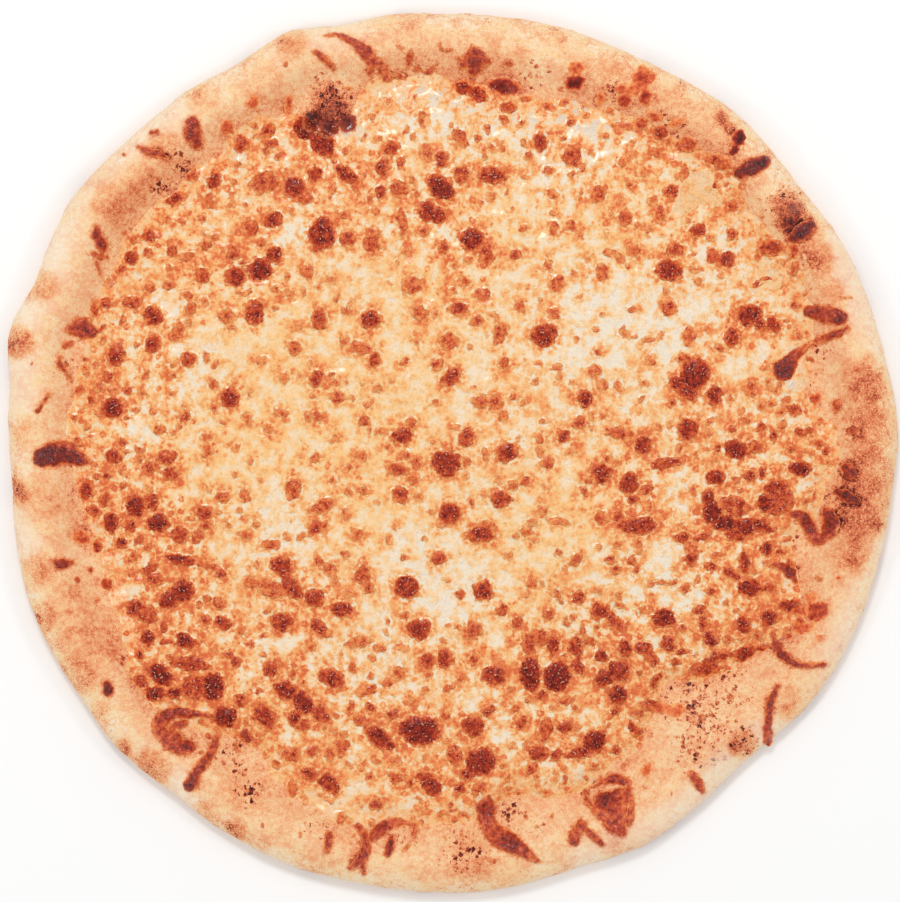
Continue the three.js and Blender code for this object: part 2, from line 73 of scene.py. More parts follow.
# Air bubbles in the dough: x, y, radius, height.
DOUGH_BUBBLES = [
    (90, -98, 21, 4.2), (-43.2, 124.9, 11, 4.6), (120.2, 86.2, 10, 3), (148, -2, 15, 1.3),
    (-155, 39.6, 7, 1.6), (-147.4, 59.7, 7, 1.3), (-134.9, -79.4, 8, 1.2), (-107.7, -113.8, 8, 1.1),
    (-57, 146, 7, 1.4), (-118, 96, 11, 1.2), (141, -27, 10, 1.2), (7, -147, 11, 1),
]

# Blisters of the cheese, and a few on the rim: x, y, length, width, turn in degrees, darkness
# from 0.45 orange to 1 burnt and 1.35 black.
BLISTERS = [
    # north west
    (-80.6, 115.9, 5.5, 5.5, 0, .7), (-75.8, 110.5, 6, 6, 0, .7), (-71.4, 124.8, 5.5, 4, 50, .7),
    (-66.1, 115.2, 5, 5, 0, .7), (-64.7, 110.9, 5, 3, 0, .65), (-85.5, 97.6, 6.5, 5, 60, .95),
    (-67.5, 96.6, 12, 8, 0, .6), (-86.9, 90.1, 5, 3.5, 90, .65), (-99.6, 90.5, 6, 4, 40, .9),
    (-56.8, 95.1, 8, 8, 0, .95), (-64.3, 83.3, 7, 6.5, 0, .95), (-72.2, 80.4, 6, 6, 0, .65),
    (-88.3, 74.4, 3.5, 3.5, 0, .6), (-100.9, 72.6, 4.5, 4, 90, .65), (-108.7, 77.6, 5, 4.5, 90, .65),
    (-115.1, 69.7, 5.5, 5.5, 0, .9), (-109.5, 71.5, 3.5, 3.5, 0, .6), (-119.1, 65.3, 3, 3, 0, .9),
    (-78.7, 71.5, 5, 5, 0, .7), (-64, 70.8, 5.5, 5.5, 0, .9), (-69.3, 65.4, 9, 8, 0, 1),
    (-77.9, 63.2, 7, 7, 0, .9), (-89.8, 63.2, 6, 5.5, 90, .7), (-108.2, 58.9, 4, 4, 0, .65),
    (-101.6, 60, 5, 3.5, 0, .6), (-58.9, 124.6, 9, 2.6, 80, .65), (-93, 99, 5, 4, 20, .5),
    # north
    (-53, 116, 9, 8, -40, 1), (-46.5, 110.5, 11, 8, -45, .95), (-21.7, 109.1, 5.5, 5.5, 0, .9),
    (-9.5, 107.7, 5, 4, 90, .7), (2.5, 113, 9, 4.5, -65, .65), (-4.1, 105.2, 6, 6, 0, .9),
    (4.8, 101.2, 5, 3.5, 90, .7), (14.2, 99.4, 11, 6.5, 0, .95), (-4, 95, 12, 8, -45, 1),
    (-5.6, 84.7, 6, 6, 0, .9), (31.3, 111.3, 8, 5.5, 90, .9), (26.7, 106.2, 3.5, 3.5, 0, .65),
    (42.8, 106.2, 8, 6.5, 90, .7), (34.6, 100.9, 5, 3, 0, .6), (-25.3, 101.9, 6.5, 6, 90, .9),
    (-38, 99.5, 12, 5, -35, .9), (-49.3, 99.8, 6, 5, 90, .9), (-52.9, 91.2, 7, 5, 0, .7),
    (-26, 93.3, 5, 5, 0, .9), (-18.8, 94.4, 6, 6, 0, .6), (-18.2, 82.5, 11, 3.5, -78, .65),
    (-47.1, 78.3, 13, 10, 80, 1), (-37.8, 76.5, 7, 5, 0, .8), (-28.8, 75.4, 10, 6, 90, .7),
    (-10.6, 79, 4, 4, 0, .6), (7, 76.5, 9, 8, 0, .95), (12, 71.1, 8, 6, 90, .62),
    (-3.4, 73.6, 5, 4, 90, .65), (22.4, 70.8, 4.5, 4.5, 0, .65), (36.4, 80.4, 5, 3, 90, .6),
    (42.5, 81.2, 4, 4, 0, .6), (34.2, 66.8, 3.5, 3.5, 0, .6), (37.1, 60.7, 5.5, 5.5, 0, .65),
    (3.8, 61.4, 5, 3, 0, .6), (10.6, 56.8, 5, 5, 0, .65), (-52.1, 64.7, 5, 5, 0, .7),
    (51.8, 92.6, 7, 5, 90, .7), (53.2, 64.7, 6, 5, 90, .65), (-14.5, 59.7, 8, 7, 0, .45),
    (19.5, 123.8, 6, 4, 0, .7), (18.1, 119.1, 4, 3, 0, .65), (52.5, 127, 6, 2.5, 90, .6),
    (-9, 86.5, 5, 8, -10, .9), (3, 99.5, 6, 5, -45, .8),
    # north east
    (68.6, 133.3, 5, 3.5, 0, .65), (68.6, 126.7, 7, 5, 90, .95), (61.1, 125.6, 5.5, 5, 0, .9),
    (74, 114.5, 6, 4.5, 0, .9), (67.9, 117.7, 4, 4, 0, .65), (61.5, 117, 12, 2.6, 0, .5),
    (72.6, 107.7, 5, 2.5, -35, .6), (102.2, 112.2, 7, 4.8, 78, 1.35),
    (100.2, 107.4, 5.6, 3.2, 55, 1.35), (94.8, 104, 11, 5, -20, .55), (87.6, 79.4, 6, 5, 0, .9),
    (93, 70.4, 5.5, 5.5, 0, .7), (98, 69.3, 7, 6.5, 0, .95), (77.6, 65.4, 9.5, 8, 0, 1),
    (79.4, 72.9, 6, 5, 0, .7), (78.3, 93.3, 6, 5, 0, .7), (74.3, 85.5, 7, 3.5, 90, .65),
    (61.8, 84, 5.5, 5, 90, .7), (65, 72.6, 5, 4, 0, .65), (100.1, 78.3, 5, 4.5, 90, .65),
    (100.5, 88.3, 4.5, 3.5, 90, .6), (114.1, 73.3, 9, 6, 0, .85), (121.6, 72.2, 6, 4.5, 90, .8),
    (122.4, 65.4, 6, 3, 90, .7), (111.5, 61.3, 10, 3.4, 22, .65), (108.7, 70.1, 4.5, 2.5, 90, .6),
    (83, 109.6, 8, 3.4, -20, .6),
    # west
    (-128.1, 51.8, 6, 3, 90, .8), (-124.2, 53.6, 5, 4, 0, .8), (-114.8, 53.9, 7, 5, 0, .75),
    (-107.3, 48.9, 7.5, 7, 0, .95), (-71.1, 50, 9, 7, 80, .95), (-94.1, 51.4, 5, 4, 70, .7),
    (-81.2, 48.9, 5.5, 5, 0, .65), (-118, 47, 5, 3, 90, .7), (-107.3, 38.8, 7, 6, 0, .9),
    (-98.7, 43.5, 8, 4, 70, .7), (-56.4, 37.4, 6, 5, 90, .7), (-120.6, 34.6, 9, 6, 70, .85),
    (-94.8, 33.1, 5.5, 5.5, 0, .8), (-88.3, 34.2, 4, 3, 90, .6), (-123.8, 27, 5, 3, 90, .8),
    (-133.1, 22.8, 4.5, 3.5, 0, .8), (-129.2, 18.8, 3.5, 3.5, 0, .7), (-121.6, 15.9, 8.5, 7, 0, 1),
    (-79.7, 19.5, 7.5, 7.5, 0, 1), (-115.9, 22, 3.4, 3.4, 0, .7), (-85.8, 15.9, 3.2, 3, 0, .65),
    (-96.2, 12.7, 4.5, 3.5, 90, .75), (-61.5, 14.2, 5, 3, -20, .7), (-66.5, 8.4, 3.4, 3, 0, .65),
    (-88.3, 5.6, 5, 3, 0, .7), (-88, .5, 5, 4, 90, .65), (-121.3, -1.3, 6, 5, -60, .85),
    (-118.1, 3.8, 4, 4, 0, .65), (-102.7, -1.6, 8, 6, 0, .75), (-101.2, -7.3, 6, 5, 0, .8),
    (-108, -5.2, 6, 4, 0, .65), (-123.8, -8.4, 3.6, 3.2, 90, .8), (-131.3, -13.4, 7, 5, 70, .9),
    (-124.2, -16.7, 6, 4, 90, .7), (-128.5, -21, 6, 4, -30, .75), (-113.8, -19.2, 9, 7, 100, .95),
    (-107.7, -17.4, 7, 5, 100, .8), (-122.4, -25.3, 7, 5.5, 80, .95), (-115.6, -26.3, 5, 4, 90, .85),
    (-105.5, -25.3, 8, 7, 0, 1), (-88.7, -21.7, 6, 6, 0, .85), (-88.3, -25.8, 5, 4, 0, .75),
    (-82.2, -16.3, 5, 4, 0, .75), (-74.4, -15.6, 5, 4, 90, .65), (-57.5, -13, 8, 6, 80, .7),
    (-74.7, -29.6, 4.4, 4, 0, .65), (-91.2, -29.9, 5, 4, 90, .7), (-97.6, -29.6, 6.5, 6, 0, .75),
    (-132.8, -30.3, 6.5, 4.5, -35, .8), (-127.4, -33.5, 4, 3.5, 0, .9), (-118.8, -32.4, 5, 5, 0, .85),
    (-112.3, -31.3, 3.5, 3.5, 0, .65), (-97.6, -38.2, 12, 4.5, -10, 1),
    (-87.6, -40.6, 12, 3.5, -12, .65), (-82.6, -43.2, 5, 4, -60, .85), (-108.4, -41.7, 7, 4, 40, .75),
    (-106.6, -45.6, 7, 5, 0, .6), (-124.2, -47.1, 4.2, 4, 0, .95), (-96.9, -49.6, 10, 8, 30, .95),
    (-102, -52.8, 8, 6, 30, .9), (-88, -52.8, 3.4, 3, 0, .7), (-113.9, -55.6, 6, 6, 0, .85),
    (-109, -58, 8, 6, 0, .6), (-61.1, -41, 10, 7.5, -50, .9), (-57.6, -48.4, 10, 7, -55, .85),
    (-66, -48.5, 12, 6, -25, .55), (-71.8, -46.8, 5, 5, 0, .55), (-65.4, -33.1, 8, 4, 0, .6),
    # middle
    (-47.8, 47.8, 8, 6, 90, .85), (-29.6, 47.5, 7.5, 7, 0, 1), (-38.2, 50.3, 3.5, 3, 0, .6),
    (-11.6, 50.3, 6, 5, 0, .6), (2, 51.4, 8, 5, 0, .9), (9.1, 47.1, 4.4, 4, 0, .7),
    (24.2, 52.5, 4.5, 4, 0, .7), (36.4, 50, 4.4, 4, 0, .75), (32.8, 42.1, 10.5, 8.5, 25, 1),
    (16.7, 42.8, 9, 5, 75, .7), (-1.6, 40, 7, 6, 0, .65), (-32.8, 37.4, 8, 5, -15, .7),
    (51.8, 36.4, 2.6, 2.4, 0, .8), (-28.1, 33.1, 6, 5, 90, .95), (-17.4, 32.4, 4.5, 2.6, 20, .7),
    (-5.6, 32.1, 5, 4, 0, .7), (-.5, 27.1, 8.5, 6, 45, .95), (18.5, 32.1, 5, 4, 90, .75),
    (-48.6, 26.3, 7.5, 6, 60, .9), (-43.2, 27.8, 2.8, 2.6, 0, .65), (51.1, 29.2, 5.5, 5, 0, .5),
    (-41.4, 19.9, 5, 5, 0, .7), (-47.5, 12.7, 4.4, 4, 0, .75), (-31.7, 11.3, 4.8, 4.4, 0, .75),
    (9.5, 18.1, 6, 5, 0, .6), (15.2, 17.7, 5.4, 5, 0, .75), (47.5, 19.2, 7.5, 5.5, -55, 1),
    (45.3, 10.9, 4.8, 4, 30, .8), (-18.1, 6.3, 8, 6, 0, 1), (-14.9, 10.2, 5, 4, 80, .7),
    (-26.3, 7.7, 3.2, 2.6, 0, .7), (4.8, 5.6, 7, 6, 90, .9), (19.5, .2, 8.2, 7.4, 0, 1),
    (39.6, 6.3, 5.6, 5.4, 0, .95), (31.3, 4.5, 3.2, 3.2, 0, .8), (-2.3, -3.8, 11, 10, 0, 1),
    (4.5, -3.8, 4, 3.4, 90, .65), (-23.5, 2, 3, 2.6, 0, .8), (-16.7, -.9, 4, 3, 90, .75),
    (-33.1, -.9, 4, 4, 0, .6), (-13.1, -3.8, 5, 4, 80, .75), (-19.9, -6.3, 8, 4.8, -15, .9),
    (-13.8, -9.9, 4.2, 3.6, 0, .75), (33.9, -3.8, 5.2, 5, 0, .7), (52.8, -7.3, 8, 7, 90, .95),
    (-18.8, -14.9, 6.2, 6, 0, .9), (-32.4, -13.8, 4.4, 2.6, 0, .65), (-46.8, -18.8, 10.5, 5, 25, .65),
    (-43.2, -9.9, 3.2, 2.2, 0, .7), (17.4, -16.7, 8, 6.6, 0, .95), (26, -10.6, 4.4, 4, 0, .75),
    (21.7, -11.6, 4, 4, 0, .6), (47.1, -13.8, 3.2, 3, 0, .75), (-1.3, -21.7, 8.6, 8.4, 0, 1),
    (-48.6, -26.7, 6.4, 6, 0, .85), (-34.6, -29.6, 5, 4, 30, .75), (9.9, -29.6, 11.5, 6, 0, 1),
    (12, -26, 6.4, 3, 0, .85), (26, -28.8, 4.4, 3.2, 0, .7), (38.2, -24.8, 9, 2.4, -15, .6),
    (52.8, -23.5, 5.2, 5, 0, .8), (-5.2, -37.8, 5.6, 5.6, 0, .9), (-47.8, -38.9, 4.2, 4, 0, .65),
    (-44.6, -41.7, 4.2, 4, 0, .7), (43.9, -38.5, 4.6, 4.2, 60, .85), (-32.4, -43.2, 7, 6, 90, .8),
    (-30.6, -48, 6, 4, -50, .7), (-16.7, -48.2, 9.6, 8.4, -20, 1), (10.9, -49.3, 7.6, 7, 0, 1),
    (3, -50.7, 4, 4, 0, .85), (28.1, -47.1, 4.6, 4.4, 0, .7), (45.3, -52.1, 5.2, 4.2, 0, .9),
    (-49.6, -51.8, 8, 7, 0, .85), (-39.8, -56, 9.5, 6.5, 0, 1),
    # east
    (77.2, 51.8, 6, 6, 90, .75), (70, 40.3, 5, 2.6, 10, .5), (84.7, 42.1, 8, 5, 90, .55),
    (105.9, 49.2, 10, 8, 0, .95), (99.8, 41.4, 8, 5, 80, .95), (110.2, 45.7, 5.4, 4, 90, .9),
    (114.8, 45.9, 6.4, 5, -60, .9), (86.5, 27.8, 13, 11, 70, 1), (80.3, 25, 6, 5, 0, 1),
    (83.7, 21.8, 9, 6, -30, .95), (93.7, 20.6, 7.4, 6.4, 60, 1), (83.7, 33.5, 8, 4, 0, .65),
    (107, 22.8, 5.4, 4, 90, .75), (130.2, 19.2, 5, 4, 0, .9), (122.7, 15.2, 5.2, 4, 0, .9),
    (114.1, 17, 3.4, 2.8, 0, .8), (79, 17.4, 3.6, 3.4, 0, .7), (84, 8.4, 8.8, 8.2, 90, .95),
    (110.2, 9.1, 3.8, 3.6, 0, .9), (105.2, 11.6, 3.2, 3, 0, .8), (100.1, 8.4, 3.6, 3.4, 0, .75),
    (114.8, 5.9, 4, 3.6, 90, .85), (124.2, 7.7, 3.8, 3.4, 0, .85), (127.8, 7.7, 3, 3, 0, .8),
    (108.4, 2, 5, 4.6, 0, .65), (120.6, 1.6, 2.8, 2.6, 0, .75), (130.6, 3.8, 4, 2.6, -20, .75),
    (133.5, .5, 3.6, 3.2, 90, .85), (68.3, 3, 7.2, 6.6, 90, .9), (59.5, 6.8, 12, 4.6, -8, .65),
    (101.6, 1.3, 9.4, 7, -20, 1), (94.4, 1.3, 3.6, 3.4, 0, .75), (76.6, -3.8, 12, 4.4, 5, .8),
    (124.2, -5.6, 9, 5.8, -12, 1), (94.1, -8.8, 7.6, 6.2, 0, .9), (105.9, -8.1, 4.4, 4, 0, .8),
    (110.5, -7.3, 4, 3.2, 90, .9), (63.2, -10.9, 8, 7, 90, .85), (64, -16.7, 5, 4, 0, .75),
    (69.3, -13.4, 4.4, 4, 0, .75), (56.1, -6.6, 4, 3, 90, .75), (115.9, -12.2, 9, 5, 10, .9),
    (112, -18.1, 8.4, 5.8, 95, 1), (117, -18, 12, 9, 40, .6), (91.2, -16, 6, 4.6, 60, 1),
    (92.6, -21.4, 9, 7, 100, 1), (97.8, -25.6, 12, 6.4, -8, 1), (105.4, -26.7, 6.6, 6, 0, .95),
    (101.4, -29.6, 9, 5, 0, .8), (101, -19, 12, 7, -20, .62), (110.2, -26, 5.4, 5, 0, .9),
    (113.8, -27.4, 4, 3.4, 0, .85), (66, -26, 15, 6.4, 0, .9), (58.9, -23.1, 4.4, 4, 0, .9),
    (70.4, -25.5, 6, 4.6, -40, .95), (82.4, -30.3, 5, 4.2, 0, .95), (89, -30.4, 9, 3, 8, .85),
    (85.1, -34.6, 9, 4, -60, .55), (85.1, -38.2, 4.8, 4.4, 0, 1), (91.9, -40.7, 5, 3.6, 0, .85),
    (112.3, -34.2, 5.6, 5, 90, .9), (118, -35.6, 4.2, 2.6, -10, .8), (104.4, -39, 9.5, 3.8, 98, .85),
    (99.6, -42.9, 8, 3.6, -30, .85), (106.2, -48.2, 8.8, 7, 0, .95), (64, -38.9, 4.4, 3.8, 0, .8),
    (65.7, -41.8, 3.4, 2.6, 90, .8), (58.6, -42.1, 3.6, 3.4, 0, .75), (66.5, -32.4, 3, 2.8, 0, .75),
    (58.6, -33.1, 3.2, 3, 0, .7), (92.3, -49.3, 3.8, 3.2, 0, .85), (79, -46.4, 2.8, 2.6, 0, .6),
    (120.6, -54.6, 9, 4.4, 0, .95), (130.2, -56.6, 8.6, 7, 35, .88), (128, -51.8, 5, 3.4, 20, .55),
    (125.4, -62.6, 8, 4.4, 15, .6), (124.6, -60.6, 3.2, 2.8, 0, .95), (120.2, -65, 3, 2.4, 0, 1),
    (131, -66.4, 4, 3, 0, .55), (124.4, -57, 5, 4, 0, .6), (113.4, -47.8, 5, 4, 0, .6),
    (137.6, -44.8, 2, 1.8, 0, .7), (56.3, -38.6, 4, 3.6, 0, .75),
    # south west
    (-103.4, -62.2, 4.2, 3.2, 90, .85), (-82.2, -60.7, 7.4, 5, -20, .95),
    (-88.3, -59.7, 4.6, 3.4, 90, .75), (-61.1, -60.7, 8.4, 7, 0, .9), (-109.5, -66.5, 6.2, 5, 90, .95),
    (-95.5, -67.2, 10.4, 5, -25, 1), (-102.7, -67.2, 4.4, 3.2, 0, .75), (-112, -72.9, 4, 3.2, 90, .95),
    (-104.8, -79.4, 11.4, 7.4, -35, 1), (-111.6, -81.8, 6.5, 4, -50, .8),
    (-107, -86.2, 7.4, 5.4, -10, 1), (-99.6, -85.8, 8.4, 4, 12, .9), (-93.5, -75.4, 14, 5.6, -8, .75),
    (-86.2, -83.7, 10.4, 8.6, 95, 1), (-81.4, -94.6, 9, 7.6, -50, 1), (-92, -84, 12, 9, -20, .62),
    (-74.4, -101.9, 4.8, 4.2, -30, .95), (-77.6, -74.6, 4.4, 4, 0, .8), (-65.4, -77.6, 6.4, 6, 0, .8),
    (-72.6, -68.3, 5, 3, 0, .55), (-80.4, -72.4, 5, 2.6, -20, .7), (-59.7, -85.1, 9.4, 7, -20, .95),
    (-67.4, -94.6, 11, 6.6, -45, .85), (-76.1, -88.7, 6, 5, -20, .6), (-56.4, -94.8, 7.4, 5, 90, .95),
    (-58.2, -108, 8.4, 5, 0, .8), (-63.2, -111.6, 3.2, 3, 0, .65), (-57.6, -120, 7, 3.8, 90, .7),
    (-70, -85.4, 3, 2.4, 0, .7), (-99.4, -74.8, 8, 3, -35, .6),
    # south
    (17.4, -56.4, 5.4, 4, 0, .8), (23.1, -60.7, 5.2, 3.8, 20, .85), (34.2, -58.2, 3.4, 3.4, 0, .7),
    (52.8, -56.8, 7.4, 6, 0, .9), (-47.4, -62.6, 9.4, 4.8, -38, .9), (-12, -62.9, 9.4, 7.8, 0, 1),
    (-17.4, -58.8, 5, 2.4, 20, .55), (7.3, -63.6, 7.4, 6, 20, .7), (2, -62.9, 3, 2.6, 0, .65),
    (30.3, -66, 10, 5, 0, .65), (36, -68.6, 7.4, 5, 100, .9), (27.4, -69.6, 7, 4.4, 100, .7),
    (43.9, -70, 8.4, 5.4, 100, .8), (48.9, -67.6, 6.4, 4, 0, .6), (53.2, -72.9, 5.4, 5, 0, .95),
    (-9.1, -74.3, 6.4, 5.4, 90, .9), (-3, -73.6, 7.4, 6, 90, .95), (7.3, -74.3, 5.2, 4, 60, .8),
    (14.5, -79.7, 8.6, 7, 0, .95), (27.6, -79.2, 13, 8, 105, 1), (37.1, -80.1, 11.4, 10.4, 100, 1),
    (32.1, -86.9, 4.6, 3.6, 0, .85), (45.3, -77, 7.4, 4.2, -45, .85), (54.2, -80.4, 6.4, 6, 0, .95),
    (-43.5, -80.8, 11, 6, -25, .95), (-35.7, -77.2, 4, 3, -50, .8), (-19.2, -78.8, 4.4, 4, 0, .7),
    (-22.8, -82.6, 4.4, 2.8, 0, .6), (-30.3, -85.1, 7.4, 4, 20, .7), (-29.6, -91.5, 4.4, 3.8, 90, .75),
    (2.4, -81.6, 4, 2.6, 30, .7), (-1.6, -83.9, 3.4, 3, 0, .6), (-33.5, -68, 11, 3.6, 10, .6),
    (-26.3, -70, 4.4, 3, 0, .6), (-50.7, -70, 3.4, 3, 0, .55), (-53.4, -89.4, 9.4, 7.4, -50, 1),
    (-47.4, -93.4, 8, 6, -40, .85), (-53.4, -97.4, 5.4, 4.4, 0, .85), (-12, -99.4, 15.6, 10.4, -8, 1),
    (-26.6, -101.6, 10.4, 6.4, -40, 1), (-22.4, -105, 6, 3.4, -10, 1), (-21.8, -93.4, 5, 4, 0, .7),
    (-2.7, -94.4, 4.6, 3.2, 0, .7), (7.3, -98, 9, 7, -10, .95), (13.1, -92.4, 6.4, 4.4, 40, .85),
    (24.5, -96.6, 5.2, 4, 90, .8), (22.4, -91.6, 3.6, 2.6, 30, .65), (10.2, -110.6, 11.6, 10.6, 30, 1),
    (5.2, -115.4, 6, 4.6, -20, .9), (.5, -108, 8.4, 5.4, 90, .7), (2.7, -120.2, 4.8, 4.4, 0, .9),
    (9.5, -120.2, 5, 3.6, 50, .75), (-7.7, -119, 9.4, 7, -45, .95), (-11.6, -115.8, 4.4, 3.6, 0, .85),
    (-20.6, -116.6, 5.4, 4, -50, .8), (-15.6, -118.2, 4.2, 3.2, 90, .75), (-29.6, -116, 3.6, 3, 0, .75),
    (-39.6, -105.2, 7.4, 4.6, 75, .75), (-50.3, -106.6, 4.6, 4, 0, .85),
    (-44.2, -118.2, 9.4, 6.6, -35, 1), (-51.4, -114.8, 8, 4.6, -20, .95),
    (-27.1, -125.9, 5, 4.2, 0, .8), (30.3, -107.6, 8.6, 6.6, 0, .85), (37.1, -108.4, 4.6, 4, 0, .9),
    (50.6, -103.4, 9.4, 7.6, 40, 1), (44.6, -107.8, 10.4, 4, 8, .95), (39.6, -98, 6.6, 4.6, -10, .8),
    (33.1, -99.6, 9, 5, 80, .62), (28.1, -113, 4.6, 3.6, 20, .75), (51.1, -112.4, 3.4, 3, 0, .7),
    (-33, -96.4, 8, 4, -10, .7), (-36.4, -91, 5, 3, 60, .6), (-44, -108, 5, 3.4, 70, .6),
    (19.8, -120, 2.8, 2.6, 0, .65), (23.6, -121.4, 3.4, 2.2, 0, .65),
    # south east
    (58, -60.4, 10, 4.6, -45, .8), (75.4, -59.3, 8.4, 6.6, 0, 1), (89.4, -60.7, 6, 4.6, 90, .75),
    (88.7, -56.4, 6.4, 3, 0, .75), (104.4, -61.8, 6.2, 5.4, 90, .95), (113.4, -58.9, 6.6, 5.4, 90, .95),
    (92.3, -66.8, 6.2, 5, 110, .95), (104.4, -72.2, 8.4, 5.4, 20, 1), (95.8, -72.6, 9, 3.4, 12, .85),
    (110.5, -69.8, 7, 2.6, 15, .7), (77.2, -68.3, 5.6, 5, 90, .8), (61.8, -70, 6.4, 4.6, 90, .85),
    (68.2, -70, 7.4, 5, -10, .8), (82.2, -71.1, 4.4, 3, 0, .85), (79.7, -75.1, 3.8, 3, 0, .8),
    (59.3, -77.9, 8.4, 8, 0, .85), (90.6, -77.4, 12.4, 4.6, 5, .8), (71.4, -74, 6, 4, -30, .7),
    (59.3, -86.5, 7.8, 6.8, 0, .95), (57.9, -92.3, 3.4, 3.2, 0, .85), (72.6, -81.6, 8, 3.2, 48, .8),
    (72.2, -90.8, 7, 3.2, 10, .75), (64, -97.8, 5, 3.2, 110, .95), (66.6, -100, 5, 2.6, 0, .95),
    (58.6, -106.6, 4.6, 3.8, 0, .75), (69.3, -113.8, 4.4, 3.8, 90, .75), (92, -74.6, 6, 3, 20, .9),
    (72.5, -90.8, 12, 4, -8, .62), (80, -92.4, 7, 4, 25, .55), (66.5, -93, 5, 3, 0, .6),
    # on the rim in the north
    (43.5, 132.3, 6.4, 6, 0, 1.15), (43.6, 137.4, 5.6, 4.4, 0, .55), (18.2, 131.4, 12.8, 6, -8, 1.1),
    (4, 130.6, 6.4, 5, -20, .95), (8.6, 128.4, 8, 5.4, -30, .8), (34, 124, 5, 3, -20, .55),
    (26, 127, 4, 3, 0, .5), (68.2, 133.6, 8, 7, 0, .8), (67.8, 137, 4, 4, 0, .5),
    (64.4, 129.6, 9, 4, 50, .5), (60.4, 129.8, 4, 3, 0, .8), (72, 120.5, 6, 3.4, -20, .75),
    (80, 118, 5, 3, 10, .65), (85, 111, 6, 3.6, -40, .7),
]

